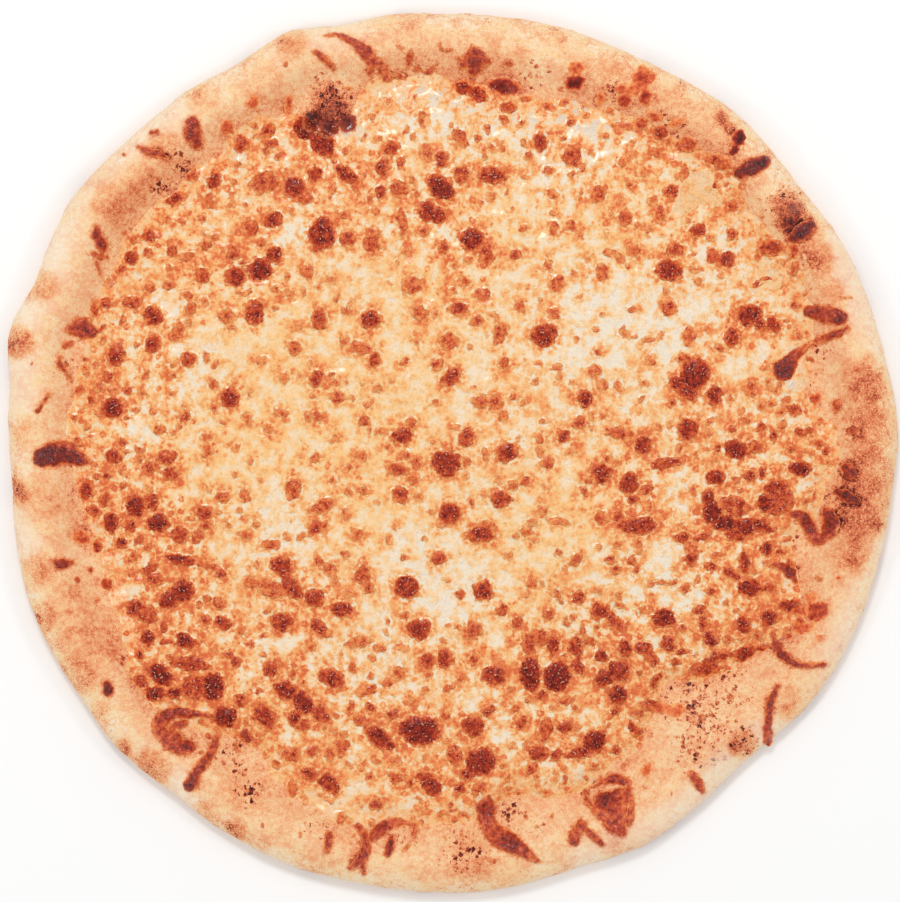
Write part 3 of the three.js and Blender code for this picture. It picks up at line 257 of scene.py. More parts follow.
# Browned cheese lying on the rim: each piece's strands, and each strand's middle line as
# x, y, width, darkness.
FLAKES = {
    "curled_shred_top": [
        [(-46.4, 148.9, 1.2, .6), (-41, 149.1, 2, .65), (-35.4, 146.4, 3.4, .7),
         (-31, 142.6, 5.4, .75), (-28.8, 139, 4.4, .6), (-29.4, 136.2, 3, .6)],
        [(-28.6, 140, 3.4, .6), (-25.8, 138.2, 4.2, .4), (-23.4, 134.4, 4.2, .4)]],
    "short_shred_top": [[(-49, 142.9, 2.4, .8), (-45.4, 140, 2.8, .75), (-42.4, 137, 1.6, .6)]],
    "diamond_flake_top": [
        [(7, 144.4, 2.4, .6), (8, 140.2, 8.4, .85), (7.6, 136, 3, .65)],
        [(3.4, 138.6, 2.6, .75), (8.2, 140, 6, .8), (12.8, 139.9, 1.8, .6)],
        [(1.4, 140.6, 1.2, .6), (5, 139.8, 1.6, .6)]],
    "oval_flake_top_right": [[(102.4, 99.8, 4.5, .95), (107, 101.9, 6.6, .95), (111, 103.9, 5, 1)]],
    "bead_flake_right": [[(121.6, 76.6, 4.4, .95), (124.5, 78.8, 6, 1), (127.6, 81, 4.2, .95)]],
    "bar_flake_right": [[(128, 50.4, 5, .9), (132.8, 49.5, 6.6, .6), (138, 48.1, 5.6, .95)]],
    "long_shred_right": [
        [(140.6, 44.6, 2.4, .8), (136.6, 42.4, 3.4, .85), (131.8, 40.6, 3, .6),
         (126.6, 37.8, 2.6, .35), (122, 34.2, 5, .8), (118.4, 29.6, 8.2, .95)]],
    "bead_flake_east": [[(140.6, -5.8, 4.6, .9), (142, -7.4, 4.6, .9)]],
    "oval_flake_east": [[(137, -13.8, 2.4, .9), (140.6, -15.5, 4.6, 1), (143.8, -17, 3, 1)]],
    "forked_flake_east": [
        [(121.6, -21.9, 2.6, .7), (125, -22.6, 4.6, .85), (127.8, -26.6, 4.8, .9),
         (129.6, -31, 4.4, .6)],
        [(134, -21.2, 4, .75), (135.2, -24.8, 6.4, .95), (133.6, -29, 4.6, .75),
         (130.8, -31.6, 4, .6)]],
    "leaf_flake_east": [[(114, -39.8, 1.6, .75), (118.4, -41.2, 3.8, .75), (121, -43, 4.8, .95),
                         (122.8, -45.8, 1.8, .8)]],
    "bent_shred_east": [
        [(114.8, -65.6, 2, .6), (115.8, -68.8, 3, .9), (118, -72.5, 3.6, .95),
         (121.8, -75.2, 3, .8), (127, -76, 2.2, .7), (133.2, -75.7, 2.2, .75)]],
    "edge_shred_south_east": [
        [(115.9, -83.4, 1.8, .75), (113.6, -88.4, 2.8, .9), (112.6, -94, 3, .9),
         (112.6, -99, 3.8, .7), (112.9, -103, 3.8, .75)]],
    "drop_flake_south_east": [[(84.9, -114.4, 2.6, .55), (87.2, -117.5, 4.2, .7),
                               (89.4, -120.8, 2.8, .6)]],
    "broad_flake_south": [
        [(62, -120.8, 3, .7), (57.6, -122.6, 4, .85), (53.6, -124.6, 6, 1), (53.6, -128, 5.6, .6)],
        [(62, -122.4, 3.4, .5), (58.6, -126.6, 8, .65), (57.6, -131.4, 9, .65),
         (60.2, -135.2, 4.4, .7)],
        [(49.2, -119.8, 1.2, .55), (53.6, -118, 2.2, .65), (58.4, -116.9, 4, .9),
         (62.4, -118, 3.2, .75)],
        [(62.6, -118.4, 2, .5), (63.8, -123.6, 1.8, .45), (63.4, -128, 2.6, .5),
         (62.8, -131.6, 3.6, .55)],
        [(47.6, -121, 1.8, .45), (47.9, -124.4, 2.2, .7), (50.4, -127.6, 2, .45),
         (52.4, -129.6, 3, .55)]],
    "blot_flake_south": [[(45.8, -132.8, 4.2, .8), (43.8, -135.6, 4.6, .45), (43.2, -138.2, 4.4, .95)]],
    "sliver_flake_south": [[(47.8, -134.8, 2, .7), (50.6, -137.2, 3, .8), (53.2, -139.8, 2, .75)]],
    "tapered_flake_south": [
        [(12, -127, 7.4, .95), (11.9, -130.4, 6.6, .7), (13, -134, 6.4, .55),
         (16.6, -137.4, 7.4, .7), (20.6, -139.4, 7.2, .9), (25.6, -142.4, 4.8, .75),
         (30.4, -146, 1.8, .45)],
        [(12.9, -123.4, 2, .6), (12.8, -127, 2.6, .8)]],
    "sliver_flake_south_west": [[(-22, -137.6, 2.2, .75), (-22.5, -140.8, 3, .95),
                                 (-23.4, -143.4, 2, .8)]],
    "branched_flake_south_west": [
        [(-18.6, -132, 3.2, .5), (-22.4, -133, 4.4, .7), (-26.4, -135.2, 4.6, .85),
         (-29.6, -138, 2.6, .6)],
        [(-34, -133.2, 2, .45), (-31.8, -136, 3, .65), (-31, -140, 3.8, .7), (-32.4, -144.2, 4, .9),
         (-36.6, -148.4, 1.8, .75)],
        [(-32.2, -144, 3, .8), (-31.8, -150.2, 2, .7)],
        [(-20, -131.8, 2, .4), (-16.6, -132.4, 1.6, .3), (-13.8, -134, 2.8, .35),
         (-13.6, -136.6, 2.2, .3)]],
    "drop_flake_south_west": [[(-44, -136.2, 3, .65), (-44.4, -139, 3.4, .75), (-44.9, -142, 2.4, .6)]],
    "club_shred_south_west": [
        [(-84, -100.4, 1.8, .6), (-85.4, -104.6, 3, .7), (-87.4, -109, 3.8, .8),
         (-91, -113.8, 3.8, .75), (-93.8, -118.8, 5.2, .95)]],
    "hooked_flake_south_west": [
        [(-86, -94.2, 1.8, .75), (-90.4, -93.9, 2.4, .8), (-95, -93.4, 4, .85),
         (-99.8, -93, 4.2, .85), (-103.6, -95.2, 5.4, .8), (-104.6, -98.6, 5.6, .5),
         (-102.2, -102, 6, .65), (-98.4, -104.6, 6.2, .7), (-94.4, -105.2, 5.2, .85)],
        [(-95.8, -96.6, 2.4, .7), (-100, -99, 4, .55), (-98.4, -102.4, 4.4, .75)]],
    "bead_flake_south_west": [[(-123.3, -82.8, 3.6, 1), (-122.9, -85, 4.2, 1)]],
    "wing_flake_west": [[(-142.8, -38.6, 1.4, .8), (-139.4, -39.7, 4.2, 1), (-136, -39.2, 2, .7)]],
    "great_flake_west": [
        [(-146.6, -1.9, 7, .95), (-143, -.6, 9.2, .95), (-138.8, 0, 8.6, .9), (-134.4, -2, 6, .95),
         (-130.6, -3.8, 1.8, .6)],
        [(-141, 3, 3.4, .55), (-133, 2.6, 1.8, .5)]],
    "thin_shred_west": [[(-147.9, 15.2, 2.6, .8), (-146, 18, 2, .65), (-144.2, 20.6, 2, .55)]],
    "crooked_shred_west": [[(-140.7, 34.2, 1.4, .8), (-140.2, 31, 2.2, .8), (-137.8, 28.4, 1.4, .65),
                            (-136.9, 25.8, 1.2, .9)]],
    "ragged_flake_west": [
        [(-136.4, 44, 4.4, .65), (-132.8, 44.6, 7.4, .85), (-129.8, 43.2, 5.2, .8)],
        [(-134.8, 46.6, 3, .6), (-130, 47.4, 2.4, .6)]],
    "leaf_shred_north_west": [[(-127.4, 80.6, 1.6, .8), (-126.8, 77.6, 4, .95), (-125.2, 74.2, 4.2, .8),
                               (-125, 71.8, 2, .7)]],
    "bowed_shred_north_west": [[(-112.2, 109.2, 1.8, .75), (-108.6, 107.2, 2.8, .7),
                                (-105, 106.6, 3, .75), (-101.6, 105.2, 1.2, .8)]],
    "patch_flake_north_west": [[(-93, 117.2, 5.8, .75), (-92.8, 114, 6.6, .75), (-91.6, 110.8, 5, .8)]],
}

# Crumbs of cheese baked on to the rim, each a short strand in the same terms.
CRUMBS = [
    [(-107.4, 114.2, 2.4, .8), (-105.8, 114.4, 2, .7)],
    [(-130, -41.8, 1.6, .8), (-129.6, -42.4, 1.4, .8)],
    [(-128.8, 71.2, 1.6, .6), (-126.4, 70, 2.6, .6), (-123.8, 70, 1.6, .7)],
    [(-127.6, 69.4, .8, .7), (-126.8, 66.6, 1.2, .7), (-126.3, 64.2, .8, .75)],
    [(-138.8, 38.2, 2, .6), (-136.6, 39, 2, .6)], [(-132, 33.6, 1.8, .8), (-131, 33.4, 1.2, .8)],
    [(-128.8, 24.8, 1.2, .7), (-127.8, 24.8, 1, .6)], [(-128, 30.6, .8, .6), (-127, 32.2, .8, .6)],
    [(142.4, 7.6, 2.8, .7), (143.8, 7.2, 2.4, .7)], [(137.4, 17.4, 3, .7), (137.4, 15.8, 2.8, .7)],
    [(-15.4, 143.2, 1.6, .6), (-15.2, 141.2, 3.2, .75), (-15.8, 138.8, 2, .4)],
    [(-12.8, 137.4, 2.4, .7), (-12, 137.2, 1.8, .6)], [(-19.4, 135, 2.6, .7), (-17, 134.6, 1.4, .5)],
    [(-10, 136.4, 1.4, .5), (-8.2, 136, 2.2, .65), (-6.6, 138, 1, .5)],
    [(-19.6, 145, 1, .6), (-18.4, 144.2, 1, .65)], [(-4.9, 146.2, .9, .5), (-4.2, 144, 1, .5)],
    [(-3.4, 143.4, 1, .4), (-.6, 143.6, 1.6, .5)], [(19.2, 139.4, 2.2, .7), (20.4, 139, 2, .7)],
    [(-17.4, -141.8, 1.6, .5), (-15.8, -140, 1.6, .45)],
    [(-118.5, -74.6, 1.2, .8), (-118.3, -74.8, 1.2, .8)], [(-40, -130, 3, .3), (-40.2, -131.4, 3, .35)],
    [(4, -129.4, 2.4, .5), (5.6, -130.6, 1.2, .3)], [(-.6, -128, 2, .35), (1, -127.8, 1.4, .3)],
    [(-28, -126, 3.8, .65), (-26.8, -126, 3.4, .6)], [(139, 55.2, .9, .2), (142, 55.4, .9, .2)],
    [(126, 68.6, .9, .5), (127.6, 68.2, 1, .5)], [(127.2, 33.6, 1.4, .6), (129.4, 33, 1.2, .6)],
    [(122, 52.8, 2.4, .7), (124, 52.6, 1.6, .6)], [(130.8, -45.2, 1.8, .5), (131.4, -45.3, 1.6, .5)],
    [(133.8, -16, 1.4, .35), (134.8, -16.2, 1.2, .3)],
    [(-77.8, -104.4, 1.6, .45), (-76.8, -106.8, 1.2, .55)],
    [(-74.6, -100.8, 3.6, .85), (-73.4, -102.8, 2.8, .8)],
    [(-117.6, 106.6, .9, .7), (-117.4, 106.4, .9, .7)], [(-107.8, 94.1, 1, .7), (-107.6, 93.9, 1, .7)],
    [(119.4, -62.8, .8, .6), (120, -64, 1.6, .95)], [(61, -112.8, 1.4, .6), (61.8, -111.6, 1, .7)],
    [(47.4, -116, 2, .3), (48, -116.6, 1.6, .3)], [(40.2, -116.4, 1.8, .5), (40.2, -118.2, 1.8, .7)],
]

# Regions of the whole top that are baked darker: x, y, radius, strength.
BAKED = [
    (-112, -20, 24, .8), (-105, -55, 22, .8), (-97, -82, 24, 1), (-85, -95, 18, .9), (-55, -50, 20, .5),
    (-60, -85, 20, .6), (-15, -98, 22, .7), (30, -78, 22, .7), (60, -75, 26, .75), (45, -95, 20, .8),
    (80, -65, 20, .6), (105, -20, 28, 1), (115, -45, 20, .8), (66, -15, 16, .8), (95, -70, 16, .6),
    (115, -60, 14, .7), (60, 5, 14, .4), (12, -125, 14, .45), (-10, -118, 14, .4), (-50, 115, 14, .9),
    (-70, 70, 16, .6), (-125, 45, 14, .6), (-120, 20, 14, .5), (-108, 30, 20, .4), (11, 135, 10, .8),
    (69, 124, 12, .9), (-5, 90, 10, .9), (10, 72, 10, .5), (-30, 90, 20, .4), (85, 28, 12, .45),
    (105, 48, 14, .6), (-107, 78, 12, .5), (-107, -78, 12, .4), (-28, 122, 9, .5), (120, 30, 12, .5),
    (125, 0, 16, .7), (-100, 105, 14, .6), (-38, 95, 14, .5), (-10, 60, 8, .5), (-85, 65, 12, .3),
    (-130, -5, 14, .6), (56, -127, 12, .5), (20, -137, 12, .5), (30, 85, 30, .25), (90, 90, 30, .4),
    (-90, 85, 30, .4), (-10, 115, 28, .25), (-115, 25, 22, .3), (-30, -90, 20, .1), (75, 108, 24, .7),
    (40, 122, 16, .7), (12, 130, 16, .8), (-14, 131, 14, .7), (-66, 113, 18, .7), (-104, 80, 20, .8),
    (100, 95, 22, .5), (120, 60, 18, .4), (-125, -20, 20, .4), (90, -118, 14, .4), (90, -97, 15, .8),
    (0, 76, 14, .5), (35, 65, 28, .25), (-50, 0, 18, .3),
]

# Regions of the cheese that are golden with fat, in the same terms.
GOLDEN = [
    (-75, 45, 30, .8), (-50, 15, 35, 1), (-85, 0, 28, .8), (-20, 20, 25, .8), (-12, 62, 12, 1),
    (25, 80, 22, .8), (55, 75, 18, .8), (35, -28, 30, .9), (10, 45, 22, .5), (5, 110, 14, .5),
    (-110, 85, 18, .4), (-60, -25, 20, .4), (-75, -105, 20, .5), (20, -55, 16, .5), (70, 95, 16, .5),
    (-28, -22, 16, .9),
]

# Regions of the cheese that are milky and wet, in the same terms.
MILKY = [
    (52, 42, 22, .85), (45, 58, 18, .5), (-58, 78, 9, 1), (-42, 112, 9, 1), (-8, 120, 14, .9),
    (12, 117, 12, .7), (-78, 103, 12, .5), (45, 118, 16, .9), (35, 100, 14, .6), (-62, -28, 14, .8),
    (-14, -36, 12, .6), (0, -52, 16, 1), (80, -46, 17, 1), (52, -50, 12, .6), (78, -12, 8, .6),
    (95, 60, 12, .7), (-5, 80, 8, .8), (22, 3, 8, .5), (-95, 20, 14, .5), (-30, -75, 14, .8),
    (50, -115, 14, .5), (20, -95, 10, .5), (-68, -70, 8, .7), (105, 5, 10, .5), (-108, 50, 12, .6),
    (-113, 6, 9, .6), (-90, 37, 10, .5), (120, 22, 9, .7), (98, 74, 9, .7), (80, 43, 9, 1),
]

# Toasted patches of the rim, in the same terms.
TOAST = [
    (147, 24, 15, .8), (149, 8, 17, .9), (148, -8, 17, 1), (144, -23, 14, 1), (142, -36, 12, .6),
    (156, 13, 7, .5), (141, -14, 9, .7), (-129, -68, 17, .5), (-118, -67, 13, .55), (-136, -52, 13, .4),
    (-147, -18, 18, .3), (-156, -14, 8, .8), (-149, -42, 11, .6), (-134.9, -79.4, 11, 1),
    (-126, -92, 6, .7), (-108, -114, 11, .9), (-118, -106, 6, .8), (-88, -129, 7, .7),
    (-77, -134.5, 7, .8), (-148, -59, 9, 1), (-75, -122, 17, .35), (7, -147, 14, .5),
    (4, -141, 15, .35), (78, -120, 14, .15), (119.5, -91.5, 7, .4), (103.7, -104.4, 8, .85),
    (118, -86, 13, .3), (-156, 39.6, 9, 1), (-147.4, 59.7, 10, .6), (-122, 88, 12, .5),
    (-110, 96, 12, .45), (-90, 127, 10, .4), (129, 69, 11, .7), (137, 57, 9, .4), (60, -145, 12, .3),
    (-35, -142, 11, .4), (-57, 146, 9, .5), (128, 80, 10, .5), (-152, 8, 10, .35), (-104, 108, 10, .5),
    (150, -60, 12, .3), (20, 141, 13, .3), (60, 135, 17, .3), (78, 124, 10, .3), (42, 128, 10, .25),
    (96, 119.6, 4, 1), (99, 115.6, 3.4, 1), (-90, -118, 8, .4), (38, -146, 9, .25), (0, -146, 8, .25),
    (-66, 128, 12, .3), (36, 149, 10, .2), (-127, -10, 18, .25), (-124, -48, 12, .25),
    (-26, 128, 12, .5), (-112, 82, 9, .45), (-109, -80, 9, .35), (-131, -28, 9, .35),
    (-70, 117, 8, .35), (-30, 122, 7, .4),
]

# Dustings of flour on the rim's outer side, in the same terms.
FLOUR = [
    (-47, 147, 18, .6), (-101, 117, 26, .7), (-141, 63, 26, .8), (-153, 32, 24, .9), (-155, -34, 18, 1),
    (-105, -118, 18, 1), (144, 62, 24, 1), (50, -150, 16, .6), (80, -136, 24, 1), (108, -112, 22, 1),
    (142, -66, 20, .7), (152, -38, 14, .6), (-128, 92, 18, .3),
]

# Charred tops of bubbles, in the same terms.
CHARS = [
    (-43.2, 124.9, 13.5, .72), (-50, 125, 6, .35), (-36.8, 124, 6, .35), (-50, 118.8, 6, 1.1),
    (-44.5, 116.6, 6, 1.1), (-38, 118.4, 6, 1.1), (119.6, 88.4, 11, .9), (120, 82.6, 8, 1),
    (-97.4, 100.6, 7, .4), (140, -22, 9, .4), (-156, 39.6, 5, .4), (-148, -59, 4.5, .5),
]

# Bursts of burnt dots on pale bubbles: x, y, radius, density.
DOT_BURSTS = [
    (89, -92, 20, 1), (86, -104, 15, .8), (103.5, -102, 9, 1), (-80.4, -108, 9, .8),
    (-71.8, -120.9, 8, 1), (-76, -114, 8, .7), (3, -143, 11, .8), (11, -145, 7, .7),
    (21, -129.5, 8, .8), (30, -133, 7, .5), (133, 36.4, 6, 1), (30, 136, 9, .9), (58, 130, 6, 1),
    (76, 121, 7, .8), (98, -86, 14, .9), (95, -110, 9, .7), (-93, 97, 8, .8), (81.5, 116, 6, .6),
    (126, 60, 7, .5), (-48.2, -134.2, 7, .8), (.9, -138, 7, .7), (-115.8, -62, 6, .7),
    (-12, -131, 6, .4), (-137, 30, 9, .5), (127, -17.5, 5, .8), (122, -29.6, 4, 1), (126, -60, 6, .6),
    (-17, -139, 6, .6), (130, 27, 9, .4), (-104, 96, 8, .7), (-43, 130, 14, .7), (-98, 104, 8, .8),
    (119, 92, 9, .6), (113, 90, 6, .5),
]

SMALL_BLISTERS = 1500             # how many small blisters the seeded draw tries to add
RIM_FLECKS = 70                   # how many tiny crumbs it adds on the rim
OUTSIDE = -9.0                    # depth in mm where no blister, flake or crumb is near


# ---------------------------------------------------------------- fields over the plane

def swell(swells, angle):
    """Sum of bell curves, height * exp(-(away / spread)^2), with away measured the short way round."""
    total = np.zeros_like(angle)
    for centre, height, spread in swells:
        away = (angle - centre + 180.0) % 360.0 - 180.0
        total += height * np.exp(-((away / spread) ** 2))
    return total


def smoothstep(value, low, high):
    """0 below low, 1 above high, 3t^2 - 2t^3 between."""
    t = np.clip((value - low) / (high - low), 0.0, 1.0)
    return t * t * (3.0 - 2.0 * t)


def noise(x, y, size, seed):
    """Smooth noise from -1 to 1: seeded values on a square lattice of that size, eased between."""
    count = 128
    lattice = np.random.default_rng(seed).uniform(-1.0, 1.0, (count, count))
    u = x / size + count / 2
    v = y / size + count / 2
    i = np.floor(u).astype(int)
    j = np.floor(v).astype(int)
    fu = smoothstep(u - i, 0.0, 1.0)
    fv = smoothstep(v - j, 0.0, 1.0)
    i0, i1, j0, j1 = i % count, (i + 1) % count, j % count, (j + 1) % count
    low = lattice[i0, j0] * (1 - fu) + lattice[i1, j0] * fu
    high = lattice[i0, j1] * (1 - fu) + lattice[i1, j1] * fu
    return low * (1 - fv) + high * fv


def knobs(x, y, size, seed):
    """Round knobs from 0 to 1: 1 - (d / r)^2 over the distance d to the nearest jittered lattice point."""
    count = 64
    radius_squared = 0.45
    jitter = np.random.default_rng(seed).uniform(0.15, 0.85, (2, count, count))
    u = x / size + 8 * count
    v = y / size + 8 * count
    i = np.floor(u).astype(int)
    j = np.floor(v).astype(int)
    nearest = np.full(np.shape(x), 9.0)
    for di in (-1, 0, 1):
        for dj in (-1, 0, 1):
            a, b = (i + di) % count, (j + dj) % count
            du = i + di + jitter[0, a, b] - u
            dv = j + dj + jitter[1, a, b] - v
            nearest = np.minimum(nearest, du * du + dv * dv)
    return np.clip(1.0 - nearest / radius_squared, 0.0, 1.0)


def polar(x, y):
    """Angle in degrees from 0 to 360 and distance, both about the hub."""
    angle = np.degrees(np.arctan2(y - HUB_Y, x - HUB_X)) % 360.0
    return angle, np.hypot(x - HUB_X, y - HUB_Y)


def around_hub(angle, radius):
    """The point at that angle in degrees and that distance from the hub."""
    turn = np.radians(angle)
    return HUB_X + radius * np.cos(turn), HUB_Y + radius * np.sin(turn)


def outline_radius(angle):
    return OUTLINE_RADIUS + swell(OUTLINE_SWELLS, angle)


def ring_noise(angle, radius, size, seed):
    """Noise read along a circle of that radius, so that it closes."""
    turn = np.radians(angle)
    return noise(np.cos(turn) * radius, np.sin(turn) * radius, size, seed)


def cheese_radius(angle):
    """The border's swells, with ragged tongues of 7 and 2.6 mm on top."""
    ragged = 1.7 * ring_noise(angle, CHEESE_RADIUS, 7.0, 11)
    finer = 0.7 * ring_noise(angle, CHEESE_RADIUS, 2.6, 12)
    return CHEESE_RADIUS + swell(CHEESE_SWELLS, angle) + ragged + finer


def crest_height(angle):
    turn = np.radians(angle)
    return CREST_HEIGHT + 0.8 * np.sin(3 * turn + 0.6) + 0.5 * np.sin(7 * turn + 2.1)


def spots(x, y, places):
    """Greatest of round soft spots: strength * (1 - (d / r)^2)^1.5 inside each radius."""
    best = np.zeros_like(x)
    for cx, cy, radius, strength in places:
        reach = 1.0 - ((x - cx) ** 2 + (y - cy) ** 2) / radius ** 2
        best = np.maximum(best, strength * np.clip(reach, 0.0, 1.0) ** 1.5)
    return best


def region(x, y, places):
    """Soft regions together: 1 less the product of 1 - strength * exp(-(d / r)^2)."""
    rest = np.ones_like(x)
    for cx, cy, radius, strength in places:
        rest *= 1.0 - strength * np.exp(-((x - cx) ** 2 + (y - cy) ** 2) / radius ** 2)
    return 1.0 - rest


def bubble_rise(x, y):
    """Sum of height * (1 - (d / r)^2)^2 over the dough's bubbles."""
    rise = np.zeros_like(x)
    for cx, cy, radius, height in DOUGH_BUBBLES:
        reach = 1.0 - ((x - cx) ** 2 + (y - cy) ** 2) / radius ** 2
        rise += height * np.clip(reach, 0.0, 1.0) ** 2
    return rise


def dough_top(x, y):
    """Quarter ellipse from the nose to the crest, cosine slope down to the floor, bubbles on top."""
    angle, radius = polar(x, y)
    inset = np.maximum(0.0, outline_radius(angle) - radius)
    crest = crest_height(angle)
    outer = NOSE_HEIGHT + (crest - NOSE_HEIGHT) * np.sqrt(
        np.clip(1.0 - (1.0 - np.minimum(inset, CREST_INSET) / CREST_INSET) ** 2, 0.0, 1.0))
    along = np.clip((inset - CREST_INSET) / (SLOPE_FOOT_INSET - CREST_INSET), 0.0, 1.0)
    inner = FLOOR_HEIGHT + (crest - FLOOR_HEIGHT) * 0.5 * (1.0 + np.cos(np.pi * along))
    height = np.where(inset < CREST_INSET, outer, inner)
    return height + smoothstep(inset, 0.0, 5.0) * bubble_rise(x, y)


def dough_lumps(x, y):
    """Uneven surface of baked dough: three sizes of noise, 17, 6 and 2.4 mm."""
    return 0.32 * noise(x, y, 17.0, 21) + 0.16 * noise(x, y, 6.0, 22) + 0.07 * noise(x, y, 2.4, 23)


def cheese_top(x, y):
    """Top of the cheese: it slips out of the dough at its border and thickens inwards.

    A skin goes from 0.12 mm under the dough's own top at the border to 0.28 mm over it at
    3.5 mm inside. On it lie the full thickness less 0.3 mm, with soft waves, times a smooth step
    of the distance to the border, and lumps of 8, 4 and 1.9 mm.
    """
    angle, radius = polar(x, y)
    room = cheese_radius(angle) - radius
    inside = smoothstep(room, 0.0, CHEESE_EDGE_TAPER)
    skin = 0.4 * smoothstep(room, 0.0, 3.5) - 0.12
    waves = 0.35 * np.sin(x / 17 + 1.3) * np.cos(y / 21 - 0.4) + 0.2 * np.sin((x - y) / 11)
    lumps = 0.3 * noise(x, y, 8.0, 31) + 0.24 * noise(x, y, 4.0, 32) + 0.14 * noise(x, y, 1.9, 33)
    rest = inside * (CHEESE_THICKNESS - 0.3 + waves) + (0.15 + 0.85 * inside) * lumps
    return dough_top(x, y) + (1.0 - inside) * dough_lumps(x, y) + skin + rest


def lay_top(x, y):
    """What a flake lies on: the cheese inside its border, the dough outside it."""
    angle, radius = polar(x, y)
    room = cheese_radius(angle) - radius
    return np.where(room > 0, cheese_top(x, y), dough_top(x, y) + dough_lumps(x, y))


# ---------------------------------------------------------------- blisters and strands

def small_blisters():
    """Seeded draw of small blisters, more of them towards the border and the south, none on a large one."""
    rng = np.random.default_rng(404)
    placed = np.array([(b[0], b[1], 0.25 * (b[2] + b[3])) for b in BLISTERS])
    chosen = []
    for _ in range(SMALL_BLISTERS):
        turn, reach = rng.uniform(0, 360), np.sqrt(rng.uniform())
        size = rng.uniform(2.0, 3.0) if rng.uniform() < 0.75 else rng.uniform(3.0, 4.4)
        dark = rng.uniform(0.15, 0.62)
        stretch, tilt, lot = rng.uniform(1.0, 1.9), rng.uniform(0, 180), rng.uniform()
        border = float(cheese_radius(np.array([turn]))[0]) - 2.0
        x, y = around_hub(turn, reach * border)
        density = 0.5 + 0.35 * reach ** 3 + 0.25 * np.clip(-y / 120.0, -0.6, 1.0)
        gap = np.hypot(placed[:, 0] - x, placed[:, 1] - y) - placed[:, 2] - 0.5 * size
        if lot > density or gap.min() < 0.3:
            continue
        placed = np.vstack([placed, (x, y, 0.5 * size)])
        chosen.append((x, y, size * stretch ** 0.5, size / stretch ** 0.5, tilt, dark))
    return chosen


def blister_fields(x, y):
    """Depth, tone, glow and rise of all blisters at each point.

    For a blister, q is the distance from its middle over its own radius in that direction, after
    the point is shifted a little by noise so that its outline is ragged. Its depth in mm is
    (1 - q) times its smaller radius, and outside it less the distance to its outline.
    edge is the greatest depth, and burn the tone of the blister that has it, which is
    0.5 + 0.08 dark + (0.1 + 0.155 dark^3) (1 - exp(-1.2 depth)).
    halo is the greatest glow, 0.3 + 0.7 dark times a bell of the distance outside. rise is the
    greatest dome, (1 - q^2) times its height.
    """
    edge = np.full_like(x, -12.0)
    burn = np.full_like(x, 0.55)
    halo = np.zeros_like(x)
    rise = np.zeros_like(x)
    glow_reach = 11.0
    wx = x + 0.6 * noise(x, y, 3.0, 41) + 0.3 * noise(x, y, 1.4, 42)
    wy = y + 0.6 * noise(x, y, 3.0, 43) + 0.3 * noise(x, y, 1.4, 44)
    for cx, cy, length, width, turn, dark in BLISTERS + small_blisters():
        reach = 0.5 * length + glow_reach
        near = np.flatnonzero((np.abs(x - cx) < reach) & (np.abs(y - cy) < reach))
        c, s = np.cos(np.radians(turn)), np.sin(np.radians(turn))
        u = (wx[near] - cx) * c + (wy[near] - cy) * s
        v = (wy[near] - cy) * c - (wx[near] - cx) * s
        q = np.hypot(u / (0.5 * length), v / (0.5 * width))
        small = 0.5 * width
        away = np.hypot(u, v) * (1.0 - 1.0 / np.maximum(q, 1e-6))
        depth = np.where(q < 1.0, (1.0 - q) * small, -away)
        deepest = depth > edge[near]
        middle = 1.0 - np.exp(-1.2 * np.maximum(depth, 0.0))
        tone = 0.5 + 0.08 * dark + (0.1 + 0.155 * dark ** 3) * middle
        burn[near] = np.where(deepest, tone, burn[near])
        edge[near] = np.maximum(edge[near], depth)
        glow = (0.3 + 0.7 * dark) * np.exp(-((np.maximum(-depth, 0.0) / (1.0 + 1.2 * dark)) ** 2))
        halo[near] = np.maximum(halo[near], glow)
        height = 1.25 * (1.0 - np.exp(-small / 3.0)) * (0.35 + 0.65 * dark)
        rise[near] = np.maximum(rise[near], height * np.clip(1.0 - q * q, 0.0, 1.0))
    return edge, burn, halo, rise


def strand_line(strand):
    """Points along a strand: x, y, width and darkness of a Catmull-Rom cubic through its knots."""
    steps = 12
    knots = np.array(strand, dtype=float)
    padded = np.vstack([2 * knots[0] - knots[1], knots, 2 * knots[-1] - knots[-2]])
    t = np.linspace(0.0, len(knots) - 1.0, steps * (len(knots) - 1) + 1)
    k = np.minimum(t.astype(int), len(knots) - 2)
    f = (t - k)[:, None]
    p0, p1, p2, p3 = padded[k], padded[k + 1], padded[k + 2], padded[k + 3]
    curve = 0.5 * (2 * p1 + (p2 - p0) * f + (2 * p0 - 5 * p1 + 4 * p2 - p3) * f ** 2
                   + (3 * p1 - p0 - 3 * p2 + p3) * f ** 3)
    even = p1[:, 2:] * (1 - f) + p2[:, 2:] * f
    return np.hstack([curve[:, :2], even])


def strand_fields(strands, x, y):
    """Depth in mm inside the nearest strand, half its width less the distance to its line, and darkness."""
    line = np.vstack([strand_line(strand) for strand in strands])
    away = np.hypot(x[..., None] - line[:, 0], y[..., None] - line[:, 1])
    depth = 0.5 * line[:, 2] - away
    best = np.argmax(depth, axis=-1)
    nearest = np.take_along_axis(depth, best[..., None], axis=-1)[..., 0]
    weight = np.exp(-((away / 2.2) ** 2))
    dark = (weight * line[:, 3]).sum(axis=-1) / np.maximum(weight.sum(axis=-1), 1e-9)
    return nearest, np.where(weight.sum(axis=-1) > 1e-6, dark, line[best, 3])


